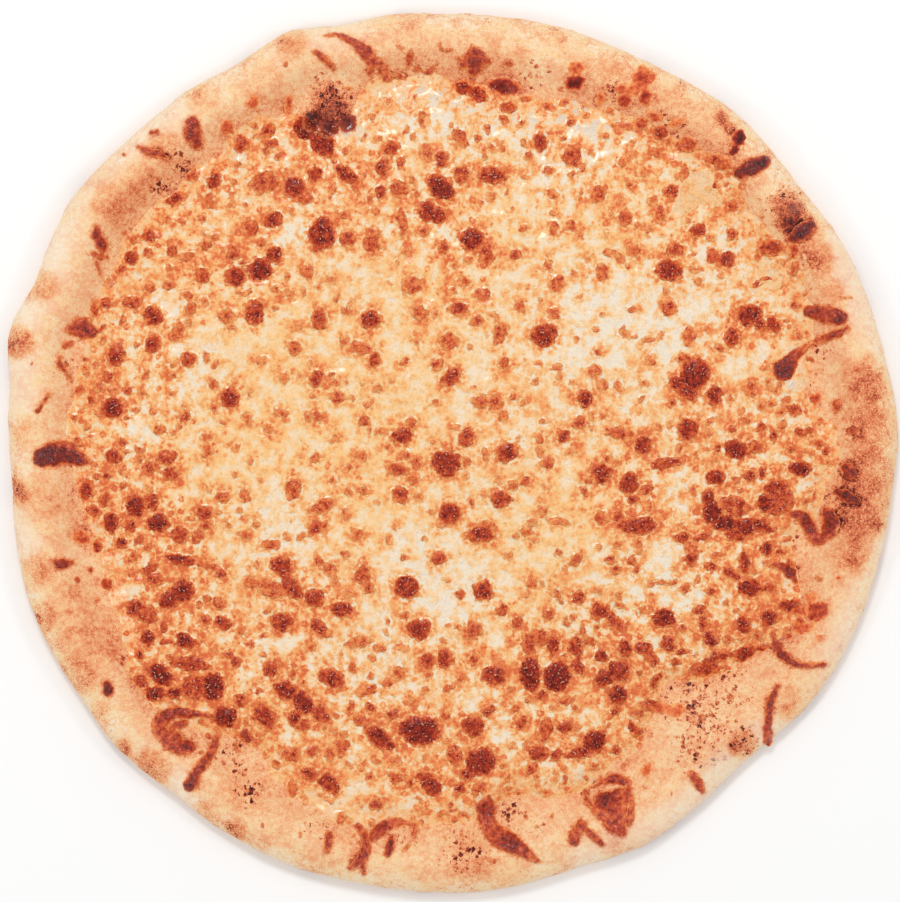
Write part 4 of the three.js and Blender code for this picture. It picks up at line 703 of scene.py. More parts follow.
def stain_depth(x, y):
    """Greatest depth in any flake or crumb, less for a pale one: where its fat stains the dough."""
    margin = 6.0
    stain = np.full_like(x, OUTSIDE)
    for strands in list(FLAKES.values()) + [[crumb] for crumb in CRUMBS]:
        knots = np.vstack([np.array(strand) for strand in strands])
        low, high = knots.min(axis=0) - margin, knots.max(axis=0) + margin
        near = (x > low[0]) & (x < high[0]) & (y > low[1]) & (y < high[1])
        depth, dark = strand_fields(strands, x[near], y[near])
        stain[near] = np.maximum(stain[near], depth - 1.2 * (1.0 - dark))
    return stain


# ---------------------------------------------------------------- meshes

def new_piece(name, points, faces, fields, material, replaces=()):
    """A mesh object from points in mm and faces, with named float fields, riding on the pizza."""
    mesh = bpy.data.meshes.new(name)
    mesh.from_pydata((points * MM).tolist(), [], faces)
    for field, values in fields.items():
        layer = mesh.attributes.new(field, "FLOAT", "POINT")
        layer.data.foreach_set("value", np.ascontiguousarray(values, dtype=np.float32))
    mesh.polygons.foreach_set("use_smooth", np.ones(len(mesh.polygons), dtype=bool))
    mesh.materials.append(material)
    mesh.update()
    piece = bpy.data.objects.new(name, mesh)
    bpy.context.scene.collection.objects.link(piece)
    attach(piece, "root")
    if replaces:
        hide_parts(*replaces)


def ring_faces(rings, steps):
    """Quads between rings of the same number of points, rings in order from the bottom up."""
    k, i = np.meshgrid(np.arange(rings - 1), np.arange(steps), indexing="ij")
    a = k * steps + i
    b = k * steps + (i + 1) % steps
    return np.stack([a, b, b + steps, a + steps], axis=-1).reshape(-1, 4).tolist()


def fan_faces(first, steps, centre, upward):
    """Triangles from a ring to its centre point, facing up or down."""
    i = np.arange(steps)
    a, b = first + i, first + (i + 1) % steps
    middle = np.full(steps, centre)
    return np.stack([middle, a, b] if upward else [middle, b, a], axis=-1).tolist()


def crust_piece(material):
    """The dough: rings round the hub, each at an inset from the outline.

    The rings run from the middle of the underside out to the foot, up a quarter ellipse to the
    nose, over the crest and down the inner slope to the floor under the cheese.
    """
    steps = 960
    angle = np.arange(steps) * 360.0 / steps
    sole = np.array([150.0, 120.0, 90.0, 60.0, 40.0, 28.0, 20.0, 15.0, 11.0])
    foot_tilt = np.radians(np.linspace(0.0, 80.0, 9))
    nose_tilt = np.radians(np.linspace(0.0, 82.0, 16))
    insets = np.concatenate([
        sole, FOOT_INSET * (1.0 - np.sin(foot_tilt)), CREST_INSET * (1.0 - np.cos(nose_tilt)),
        np.arange(10.4, 50.0, 0.86), (56.0, 75.0, 110.0, 150.0)])[:, None]
    lifts = np.concatenate([np.zeros(len(sole)), 1.0 - np.cos(foot_tilt)])[:, None]
    low_rings = len(lifts)
    wobble = 0.35 * ring_noise(angle, 150.0, 5.0, 51) + 0.15 * ring_noise(angle, 150.0, 1.7, 52)
    near_outline = smoothstep(-insets, -40.0, -12.0)
    x, y = around_hub(angle, outline_radius(angle) + wobble * near_outline - insets)
    on_rim = smoothstep(insets, 0.0, 3.0) * smoothstep(-insets, -60.0, -40.0)
    z = dough_top(x, y) + on_rim * dough_lumps(x, y)
    z[:low_rings] = NOSE_HEIGHT * lifts
    points = np.stack([x, y, z], axis=-1).reshape(-1, 3)
    bottom, top = len(points), len(points) + 1
    points = np.vstack([points, [[HUB_X, HUB_Y, 0.0], [HUB_X, HUB_Y, FLOOR_HEIGHT]]])
    faces = ring_faces(len(insets), steps)
    faces += fan_faces(0, steps, bottom, False)
    faces += fan_faces((len(insets) - 1) * steps, steps, top, True)

    px, py = points[:, 0], points[:, 1]
    around, away = polar(px, py)
    inset = outline_radius(around) - away
    beyond = away - cheese_radius(around)
    under = np.arange(len(points)) < low_rings * steps
    edge, burn, halo, rise = blister_fields(px, py)
    on_top = smoothstep(beyond, -1.0, 1.0) * smoothstep(inset, 3.0, 8.0)
    points[:, 2] += np.where(under, 0.0, rise * on_top)
    fields = {
        "toast": spots(px, py, TOAST),
        "char": spots(px, py, CHARS),
        "dots": spots(px, py, DOT_BURSTS),
        "inset": inset,
        "beyond": beyond,
        "stain": stain_depth(px, py),
        "under": under | (np.arange(len(points)) == bottom),
        "flour": region(px, py, FLOUR) * smoothstep(-inset, -15.0, -5.0),
        "edge": np.where(under, OUTSIDE, edge),
        "burn": burn,
        "halo": np.where(under, 0.0, halo),
        "baked": region(px, py, BAKED),
    }
    new_piece("pizza_crust", points, faces, fields, material, ["crust"])


def cheese_piece(material):
    """The cheese: a square grid bent into its outline.

    A grid point (u, v) from -1 to 1 goes to the ring max(|u|, |v|) of the border's radius, at
    45 degrees times v / u inside each quarter. Its top has the blisters' domes and knobs, and a
    shallow dent round each. The wall and the underside close it below.
    """
    cells = 300
    line = np.linspace(-1.0, 1.0, cells + 1)
    u, v = np.meshgrid(line, line)
    ring = np.maximum(np.abs(u), np.abs(v))
    wide = np.abs(u) >= np.abs(v)
    safe_u = np.where(np.abs(u) < 1e-9, 1e-9, u)
    safe_v = np.where(np.abs(v) < 1e-9, 1e-9, v)
    turn = np.where(wide, 45.0 * v / safe_u + np.where(u < 0, 180.0, 0.0),
                    90.0 - 45.0 * u / safe_v + np.where(v < 0, 180.0, 0.0)) % 360.0
    x, y = (grid.ravel() for grid in around_hub(turn, ring * cheese_radius(turn)))
    edge, burn, halo, rise = blister_fields(x, y)
    angle, away = polar(x, y)
    room = cheese_radius(angle) - away
    rough = smoothstep(edge, -0.4, 0.6) * (0.42 * knobs(x, y, 2.1, 61) - 0.16)
    dent = smoothstep(edge, -1.8, -0.5) * smoothstep(-edge, -0.2, 0.6)
    z = cheese_top(x, y) + rise * smoothstep(room, -0.5, 2.0)
    z += rough * smoothstep(room, 0.0, 2.0) - 0.12 * dent
    points = [np.stack([x, y, z], axis=-1)]
    index = np.arange((cells + 1) ** 2).reshape(cells + 1, cells + 1)
    a, b = index[:-1, :-1].ravel(), index[:-1, 1:].ravel()
    c, d = index[1:, 1:].ravel(), index[1:, :-1].ravel()
    faces = np.stack([a, b, c, d], axis=-1).tolist()

    border = np.concatenate([index[0, :-1], index[:-1, -1], index[-1, :0:-1], index[:0:-1, 0]])
    steps = len(border)
    start = len(x)
    for scale, on_dough in ((0.9985, True), (0.97, True), (0.55, False), (0.15, False)):
        wx = HUB_X + (x[border] - HUB_X) * scale
        wy = HUB_Y + (y[border] - HUB_Y) * scale
        wz = dough_top(wx, wy) + dough_lumps(wx, wy) - 0.5 if on_dough else np.full(steps, FLOOR_HEIGHT)
        points.append(np.stack([wx, wy, wz], axis=-1))
    points.append(np.array([[HUB_X, HUB_Y, FLOOR_HEIGHT]]))
    points = np.vstack(points)
    first = np.concatenate([border, np.arange(start, start + 3 * steps)])
    second = np.arange(start, start + 4 * steps)
    k = np.arange(4 * steps)
    after = (k // steps) * steps + (k % steps + 1) % steps
    faces += np.stack([first[k], second[k], second[after], first[after]], axis=-1).tolist()
    faces += fan_faces(start + 3 * steps, steps, start + 4 * steps, False)

    milky = region(x, y, MILKY)
    fields = {
        "edge": edge,
        "burn": burn,
        "halo": halo,
        "baked": region(x, y, BAKED),
        "gold": region(x, y, GOLDEN) * (1.0 - milky),
        "milk": milky,
        "room": room,
        "char": spots(x, y, CHARS),
    }
    for name, values in fields.items():
        below = OUTSIDE if name == "edge" else 0.0
        fields[name] = np.concatenate([values, np.full(len(points) - start, below)])
    new_piece("pizza_cheese", points, faces, fields, material, ["cheese"])


def strand_patch(strands, cell, thickness, seed):
    """A closed patch of browned cheese over its strands: points in mm, faces, depth and darkness.

    The strands' depth, roughened by noise, is worked out on a square grid. Cells that it reaches
    are kept, and their outer points slide down its slope to where it is 0, which is the outline.
    The top rises with the square root of the depth to the full thickness, with small knobs. A
    copy of the patch, turned over a little below what it lies on, closes it with a wall.
    """
    thin, sunk, full_depth = 0.12, 0.3, 1.7
    knots = np.vstack([np.array(strand) for strand in strands])
    pad = 0.5 * knots[:, 2].max() + 1.5
    xs = np.arange(knots[:, 0].min() - pad, knots[:, 0].max() + pad, cell)
    ys = np.arange(knots[:, 1].min() - pad, knots[:, 1].max() + pad, cell)
    x, y = np.meshgrid(xs, ys, indexing="ij")
    depth, dark = strand_fields(strands, x, y)
    depth = depth + 0.34 * noise(x, y, 2.1, seed) + 0.22 * noise(x, y, 1.0, seed + 1)
    slope_x, slope_y = np.gradient(depth, cell)
    steep = np.maximum(slope_x ** 2 + slope_y ** 2, 0.3)
    slide = np.where(depth < 0.0, np.clip(-depth / steep, 0.0, 1.2 * cell), 0.0)
    x, y = x + slide * slope_x, y + slide * slope_y
    wet = depth > 0.0
    keep = wet[:-1, :-1].astype(int) + wet[1:, :-1] + wet[1:, 1:] + wet[:-1, 1:] >= 2
    index = np.arange(x.size).reshape(x.shape)
    quads = np.stack([index[:-1, :-1][keep], index[1:, :-1][keep], index[1:, 1:][keep],
                      index[:-1, 1:][keep]], axis=-1)
    used, quads = np.unique(quads, return_inverse=True)
    quads = quads.reshape(-1, 4)
    x, y, depth, dark = x.ravel()[used], y.ravel()[used], depth.ravel()[used], dark.ravel()[used]
    depth = np.maximum(depth, 0.0)
    base = lay_top(x, y)
    crown = np.sqrt(np.clip(depth / full_depth, 0.0, 1.0))
    knob = 0.3 * knobs(x, y, 1.6, seed + 2) + 0.14 * noise(x, y, 2.6, seed + 3)
    top = base + thin + (thickness - thin) * crown + knob * crown
    starts = quads.ravel()
    ends = np.roll(quads, -1, axis=1).ravel()
    size = len(x)
    inner = np.isin(starts * size + ends, ends * size + starts)
    a, b = starts[~inner], ends[~inner]
    wall = np.stack([b, a, a + size, b + size], axis=-1)
    faces = np.vstack([quads, quads[:, ::-1] + size, wall])
    points = np.vstack([np.stack([x, y, top], axis=-1), np.stack([x, y, base - sunk], axis=-1)])
    return points, faces, np.tile(depth, 2), np.tile(dark, 2)


def flake_fields(depth, dark):
    """Depth and tone of browned cheese on the rim, darker in its middle and with its darkness."""
    middle = 1.0 - np.exp(-depth)
    return {"edge": depth, "burn": 0.54 + 0.1 * dark + (0.04 + 0.29 * dark ** 3) * middle}


def flake_piece(name, strands, seed, material):
    points, faces, depth, dark = strand_patch(strands, FLAKE_CELL, FLAKE_THICKNESS, seed)
    new_piece("pizza_" + name, points, faces.tolist(), flake_fields(depth, dark), material,
              [name])


def crumbs_piece(material):
    """Crumbs of cheese baked on to the rim: the listed ones and a seeded draw of tiny ones."""
    rng = np.random.default_rng(77)
    crumbs = list(CRUMBS)
    for _ in range(RIM_FLECKS):
        turn = rng.uniform(0, 360)
        inset = rng.uniform(8.0, 20.0) if rng.uniform() < 0.3 else rng.uniform(17.0, 24.0)
        x, y = around_hub(turn, float(outline_radius(np.array([turn]))[0]) - inset)
        dx, dy = rng.uniform(-1, 1, 2)
        width, dark = rng.uniform(0.7, 1.6), rng.uniform(0.3, 0.75)
        crumbs.append([(x, y, width, dark), (x + dx, y + dy, width, dark)])
    points, faces, depths, darks = [], [], [], []
    start = 0
    for number, crumb in enumerate(crumbs):
        patch, quads, depth, dark = strand_patch([crumb], CRUMB_CELL, CRUMB_THICKNESS, 3000 + 5 * number)
        points.append(patch)
        faces.append(quads + start)
        depths.append(depth)
        darks.append(dark)
        start += len(patch)
    fields = flake_fields(np.concatenate(depths), np.concatenate(darks))
    new_piece("pizza_crumbs", np.vstack(points), np.vstack(faces).tolist(), fields, material)


# ---------------------------------------------------------------- colours

def colour(red, green, blue):
    """Linear colour from display values of 0 to 255."""
    display = np.array([red, green, blue]) / 255.0
    linear = np.where(display <= 0.04045, display / 12.92, ((display + 0.055) / 1.055) ** 2.4)
    return (*(float(c) for c in linear), 1.0)


# Ramps from the palest tone at 0 to burnt at 1.
CHEESE_TONES = [
    (0.00, colour(250, 238, 220)), (0.14, colour(252, 228, 196)), (0.28, colour(253, 212, 162)),
    (0.38, colour(252, 194, 130)), (0.48, colour(249, 168, 102)), (0.57, colour(241, 137, 77)),
    (0.66, colour(221, 98, 53)), (0.75, colour(184, 60, 32)), (0.85, colour(134, 33, 22)),
    (1.00, colour(72, 12, 12)),
]
DOUGH_TONES = [
    (0.00, colour(248, 232, 213)), (0.16, colour(249, 220, 181)), (0.32, colour(247, 204, 156)),
    (0.46, colour(244, 178, 126)), (0.58, colour(233, 147, 98)), (0.70, colour(212, 106, 67)),
    (0.82, colour(152, 56, 36)), (0.92, colour(100, 28, 22)), (1.00, colour(58, 14, 14)),
]
# Colour of the painted glints: pale pink specks of highlight on browned cheese.
PAINTED_GLINT = colour(238, 158, 122)
GOLDEN_FAT = colour(255, 203, 128)
# Milky cheese, and a greyer milky tint near the border that is painted shade by the rim.
MILKY_CHEESE, MILKY_IN_PAINTED_SHADE = colour(246, 230, 207), colour(224, 205, 187)
DOUGH_BLUSH, DOUGH_STRAW = colour(243, 174, 127), colour(248, 212, 150)
DOUGH_FLOUR = colour(252, 236, 214)
SOLE_PALE, SOLE_TAN = colour(243, 198, 144), colour(230, 170, 114)
SOLE_DARK, SOLE_FLOUR = colour(160, 84, 46), colour(242, 226, 200)
FLOOR_WHITE = colour(253, 253, 253)


# ---------------------------------------------------------------- materials

class Graph:
    """Short calls that add and link the nodes of one material or node group."""

    def __init__(self, tree):
        self.tree = tree

    def put(self, socket, value):
        if isinstance(value, bpy.types.NodeSocket):
            self.tree.links.new(value, socket)
        else:
            socket.default_value = value

    def fill(self, node, inputs):
        for key, value in inputs.items():
            self.put(node.inputs[key], value)

    def node(self, kind, inputs, **settings):
        made = self.tree.nodes.new(kind)
        for name, value in settings.items():
            setattr(made, name, value)
        self.fill(made, inputs)
        return made

    def field(self, name):
        return self.node("ShaderNodeAttribute", {}, attribute_name=name).outputs["Fac"]

    def group(self, tree, **inputs):
        return self.node("ShaderNodeGroup", inputs, node_tree=tree).outputs

    def maths(self, operation, *values):
        return self.node("ShaderNodeMath", dict(enumerate(values)), operation=operation).outputs[0]

    def add(self, total, *more):
        for value in more:
            total = self.maths("ADD", total, value)
        return total

    def less(self, whole, part):
        return self.maths("SUBTRACT", whole, part)

    def times(self, product, *more):
        for value in more:
            product = self.maths("MULTIPLY", product, value)
        return product

    def scaled(self, value, factor, shift):
        return self.maths("MULTIPLY_ADD", value, factor, shift)

    def centred(self, value, strength):
        """Noise about 0, times strength."""
        return self.scaled(value, strength, -0.5 * strength)

    def ease(self, value, low, high, to_low=0.0, to_high=1.0):
        """Smooth step from to_low at low to to_high at high."""
        return self.node("ShaderNodeMapRange", {
            "Value": value, "From Min": low, "From Max": high, "To Min": to_low, "To Max": to_high,
        }, interpolation_type="SMOOTHSTEP").outputs[0]

    def blend(self, factor, a, b):
        """Value a where the factor is 0 and b where it is 1."""
        return self.node("ShaderNodeMix", {0: factor, 2: a, 3: b}, data_type="FLOAT").outputs[0]

    def mix(self, factor, a, b):
        """Colour a where the factor is 0 and b where it is 1."""
        return self.node("ShaderNodeMix", {0: factor, 6: a, 7: b}, data_type="RGBA").outputs[2]

    def noise(self, place, scale, detail, roughness=0.55, flat=True):
        return self.node("ShaderNodeTexNoise", {
            "Vector": place, "Scale": scale, "Detail": detail, "Roughness": roughness,
        }, noise_dimensions="2D" if flat else "3D").outputs[0]

    def ragged(self, place, scale, reach):
        """The place moved by up to twice reach, in metres, along the colour of noise."""
        shade = self.node("ShaderNodeTexNoise", {"Vector": place, "Scale": scale, "Detail": 1.0},
                          noise_dimensions="2D").outputs[1]
        shift = self.node("ShaderNodeVectorMath", {0: shade, "Scale": 2.0 * reach}, operation="SCALE")
        moved = self.node("ShaderNodeVectorMath", {0: place, 1: shift.outputs[0]}, operation="ADD")
        return moved.outputs[0]

    def cells(self, place, scale):
        """Distance to the middle of the nearest of scattered cells, and two lots of that cell."""
        made = self.node("ShaderNodeTexVoronoi", {"Vector": place, "Scale": scale},
                         voronoi_dimensions="2D")
        lots = self.node("ShaderNodeSeparateColor", {0: made.outputs["Color"]}).outputs
        return made.outputs["Distance"], lots[0], lots[1]

    def ramp(self, tone, tones):
        """The colour of a tone in a list of (tone, colour)."""
        made = self.node("ShaderNodeValToRGB", {0: tone})
        elements = made.color_ramp.elements
        while len(elements) < len(tones):
            elements.new(0.5)
        for element, (position, tint) in zip(elements, tones):
            element.position = position
            element.color = tint
        return made.outputs["Color"]

    def bump(self, height, strength, distance):
        inputs = {"Strength": strength, "Distance": distance, "Height": height}
        return self.node("ShaderNodeBump", inputs).outputs["Normal"]


def new_group(name, inputs, outputs):
    """An empty node group with the vector Place, the named float inputs and the float outputs."""
    tree = bpy.data.node_groups.new(name, "ShaderNodeTree")
    tree.interface.new_socket("Place", in_out="INPUT", socket_type="NodeSocketVector")
    for title in inputs:
        tree.interface.new_socket(title, in_out="INPUT", socket_type="NodeSocketFloat")
    for title in outputs:
        tree.interface.new_socket(title, in_out="OUTPUT", socket_type="NodeSocketFloat")
    ins = tree.nodes.new("NodeGroupInput").outputs
    end = tree.nodes.new("NodeGroupOutput")
    return tree, Graph(tree), ins, end


def browning_group():
    """Browned cheese: its cover, tone and knobbly height, a painted highlight round it, painted glints.

    Edge is the depth in mm inside the outline and Burn the tone there. Noise of 2 and 0.8 mm
    roughens the outline, and noise of 2 and 0.4 mm mottles the tone, the first by Mottle. The
    shore is a thin line just outside, where a painted highlight goes on the blister's rim. Glints are
    small specks of painted highlight and lie on the darker half of the mottling.
    """
    tree, g, ins, end = new_group("browning", ("Edge", "Burn", "Mottle"),
                                  ("Cover", "Tone", "Height", "PaintedRimHighlight", "PaintedGlint"))
    place = ins["Place"]
    edge = g.add(ins["Edge"], g.centred(g.noise(place, 460.0, 1.0), 1.8), 0.2,
                 g.centred(g.noise(place, 1300.0, 1.0), 0.6))
    cover = g.ease(edge, -0.3, 0.4)
    grain = g.noise(place, 2300.0, 1.0, 0.7)
    mottle = g.noise(place, 520.0, 2.0, 0.6)
    knob = g.noise(place, 750.0, 1.0, 0.6)
    tone = g.add(ins["Burn"], g.times(g.centred(mottle, 1.0), ins["Mottle"]), g.centred(grain, 0.16))
    lumps = g.times(g.scaled(knob, 2.2, 0.2), g.ease(edge, -0.5, 1.2))
    painted_glint = g.ease(g.noise(place, 1150.0, 1.0, 0.6), 0.6, 0.67)
    g.fill(end, {
        "Cover": cover,
        "Tone": g.less(tone, g.ease(edge, 0.6, 0.0, 0.0, 0.06)),
        "Height": g.add(lumps, g.times(grain, 0.4)),
        "PaintedRimHighlight": g.times(g.ease(edge, -0.95, -0.35), g.ease(edge, 0.0, -0.3)),
        "PaintedGlint": g.times(painted_glint, g.ease(mottle, 0.46, 0.6), cover),
    })
    return tree


def freckle_group():
    """Orange freckles up to 3 mm across, the large ones with a paler middle: the tone they add.

    Each lies in the middle of a cell, and the cell's two lots say how large and how dark it is.
    """
    tree, g, ins, end = new_group("freckles", (), ("Tone",))
    place = g.ragged(ins["Place"], 600.0, 0.0006)
    away, lot, other = g.cells(place, 250.0)
    depth = g.less(g.ease(lot, 0.35, 1.0, -0.05, 0.34), away)
    large = g.times(g.ease(depth, -0.06, 0.05), g.ease(other, 0.0, 1.0, 0.05, 0.2))
    large = g.less(large, g.ease(depth, 0.12, 0.26, 0.0, 0.1))
    away, lot, other = g.cells(place, 620.0)
    depth = g.less(g.ease(lot, 0.6, 1.0, -0.05, 0.4), away)
    tiny = g.times(g.ease(depth, -0.08, 0.1), g.ease(other, 0.0, 1.0, 0.04, 0.14))
    g.fill(end, {"Tone": g.add(large, tiny)})
    return tree


def web_group():
    """Ragged lines about 5 mm apart, like the seams between fused bubbles."""
    tree, g, ins, end = new_group("web", (), ("Mask",))
    place = ins["Place"]
    cells = g.node("ShaderNodeTexVoronoi", {"Vector": g.ragged(place, 330.0, 0.0016), "Scale": 210.0},
                   voronoi_dimensions="2D", feature="DISTANCE_TO_EDGE")
    seam = g.add(cells.outputs["Distance"], g.centred(g.noise(place, 900.0, 1.0), 0.2))
    here = g.ease(g.noise(place, 150.0, 1.0), 0.4, 0.56)
    g.fill(end, {"Mask": g.times(g.ease(seam, 0.16, 0.02), here)})
    return tree


def charring_group():
    """Burnt bubbles: how much tone they add, grainy and ragged, most where Char is near 1."""
    tree, g, ins, end = new_group("charring", ("Char",), ("Tone",))
    burn = g.scaled(ins["Char"], 1.3, -0.28)
    for scale, detail, roughness, strength in ((170.0, 2.0, 0.6, 0.5), (640.0, 2.0, 0.65, 0.6),
                                               (2300.0, 1.0, 0.7, 0.6)):
        burn = g.add(burn, g.centred(g.noise(ins["Place"], scale, detail, roughness), strength))
    tone = g.add(g.ease(burn, 0.0, 0.7, 0.0, 0.4), g.ease(burn, 0.8, 1.25, 0.0, 0.14))
    g.fill(end, {"Tone": g.times(tone, g.ease(ins["Char"], 0.0, 0.1))})
    return tree


def new_material(name):
    """A material with its Graph, its Principled BSDF and the place on the piece in metres."""
    material = bpy.data.materials.new(name)
    material.use_nodes = True
    tree = material.node_tree
    tree.nodes.clear()
    shader = tree.nodes.new("ShaderNodeBsdfPrincipled")
    output = tree.nodes.new("ShaderNodeOutputMaterial")
    tree.links.new(shader.outputs[0], output.inputs[0])
    place = tree.nodes.new("ShaderNodeTexCoord").outputs["Object"]
    return material, Graph(tree), shader, place


def cheese_material(browning, freckles, web, charring):
    """Melted cheese: cream patches, golden fat, orange freckles, browned blisters, wet gloss, painted
    glints.
    """
    material, g, shader, place = new_material("melted_cheese")
    edge, room = g.field("edge"), g.field("room")
    baked, milk = g.field("baked"), g.field("milk")
    pools = g.noise(place, 75.0, 1.0)
    patches = g.noise(place, 230.0, 2.0, 0.6)
    strands = g.noise(place, 560.0, 2.0, 0.5)
    grain = g.noise(place, 1900.0, 1.0, 0.7)
    brown = g.group(browning, Place=place, Edge=edge, Burn=g.field("burn"), Mottle=0.52)

    # Bare cheese: patchy, darker where baked and near blisters, paler where milky, even where thin.
    tone = g.add(g.centred(pools, 0.4),
                 g.times(g.centred(patches, 1.0), g.ease(baked, 0.0, 0.8, 0.55, 0.85)),
                 g.centred(strands, 0.3), g.centred(grain, 0.15),
                 g.ease(edge, -8.0, -0.5, 0.27, 0.37), g.times(baked, 0.07))
    tone = g.less(tone, g.times(milk, 0.16))
    thin = g.ease(g.add(room, g.centred(patches, 12.0)), 8.0, 0.0)
    tone = g.blend(g.times(thin, 0.75), tone, 0.38)
    often = g.times(g.ease(baked, 0.0, 0.8, 0.75, 1.9), g.ease(milk, 0.1, 0.9, 1.0, 0.4))
    spot = g.times(g.group(freckles, Place=place)["Tone"], often)
    halo = g.times(g.field("halo"), g.ease(strands, 0.36, 0.6, 0.25, 1.15))
    vein = g.times(g.group(web, Place=place)["Mask"], g.ease(baked, 0.0, 0.8, 0.05, 0.17))
    tone = g.add(tone, spot, g.times(halo, 0.27), vein)
    # A thin paler line just outside each blister: a painted highlight on its rim.
    tone = g.less(tone, g.times(brown["PaintedRimHighlight"], 0.09))
    tone = g.ease(tone, -0.15, 0.85, 0.0, 0.64)

    # Blisters over it, then golden fat and milky cheese on what they leave bare, chars, painted glints.
    cover = brown["Cover"]
    bare = g.less(1.0, cover)
    deep = g.add(brown["Tone"], g.ease(baked, 0.0, 1.0, -0.02, 0.05))
    tint = g.ramp(g.blend(cover, tone, deep), CHEESE_TONES)
    golden = g.times(g.field("gold"), g.ease(tone, 0.6, 0.3), bare, 0.5)
    tint = g.mix(golden, tint, GOLDEN_FAT)
    milky = g.times(g.ease(patches, 0.56, 0.4), g.ease(tone, 0.42, 0.2), bare,
                    g.ease(milk, 0.0, 0.8, 0.35, 0.85))
    # Milky cheese turns greyer towards the border, from 18 to 3 mm in: painted shade by the rim.
    tint = g.mix(milky, tint, g.mix(g.ease(room, 18.0, 3.0), MILKY_CHEESE, MILKY_IN_PAINTED_SHADE))
    burnt = g.group(charring, Place=place, Char=g.field("char"))["Tone"]
    tint = g.mix(g.ease(burnt, 0.05, 0.3), tint, g.ramp(g.add(burnt, 0.42), DOUGH_TONES))
    # Painted glints: pale specks of highlight mixed into the blisters' colour.
    tint = g.mix(g.times(brown["PaintedGlint"], 0.9), tint, PAINTED_GLINT)

    height = g.add(g.times(strands, 1.2), g.times(grain, 0.3), g.times(patches, 1.6),
                   g.times(brown["Height"], 0.6))
    wet = g.times(g.ease(patches, 0.35, 0.6, 0.6, 0.3), g.ease(cover, 0.0, 1.0, 1.0, 0.2))
    g.fill(shader, {
        "Base Color": tint,
        "Normal": g.bump(height, 1.0, 0.0006),
        "Roughness": g.ease(strands, 0.3, 0.7, 0.34, 0.5),
        "Coat Weight": wet,
        "Coat Roughness": 0.15,
        "Specular IOR Level": 0.13,
    })
    return material


def flake_material(browning):
    """Browned cheese on the rim: orange at its thin edges, red brown and maroon in its middle."""
    material, g, shader, place = new_material("browned_flake")
    edge = g.field("edge")
    brown = g.group(browning, Place=place, Edge=edge, Burn=g.field("burn"), Mottle=0.5)
    tint = g.ramp(g.add(brown["Tone"], g.ease(edge, 0.0, 0.7, -0.1, 0.02)), CHEESE_TONES)
    g.fill(shader, {
        # A few painted glints, pale specks of highlight, on the flakes.
        "Base Color": g.mix(g.times(brown["PaintedGlint"], 0.25), tint, PAINTED_GLINT),
        "Normal": g.bump(brown["Height"], 0.9, 0.0005),
        "Roughness": 0.46,
        "Coat Weight": 0.35,
        "Coat Roughness": 0.2,
        "Specular IOR Level": 0.25,
    })
    return material


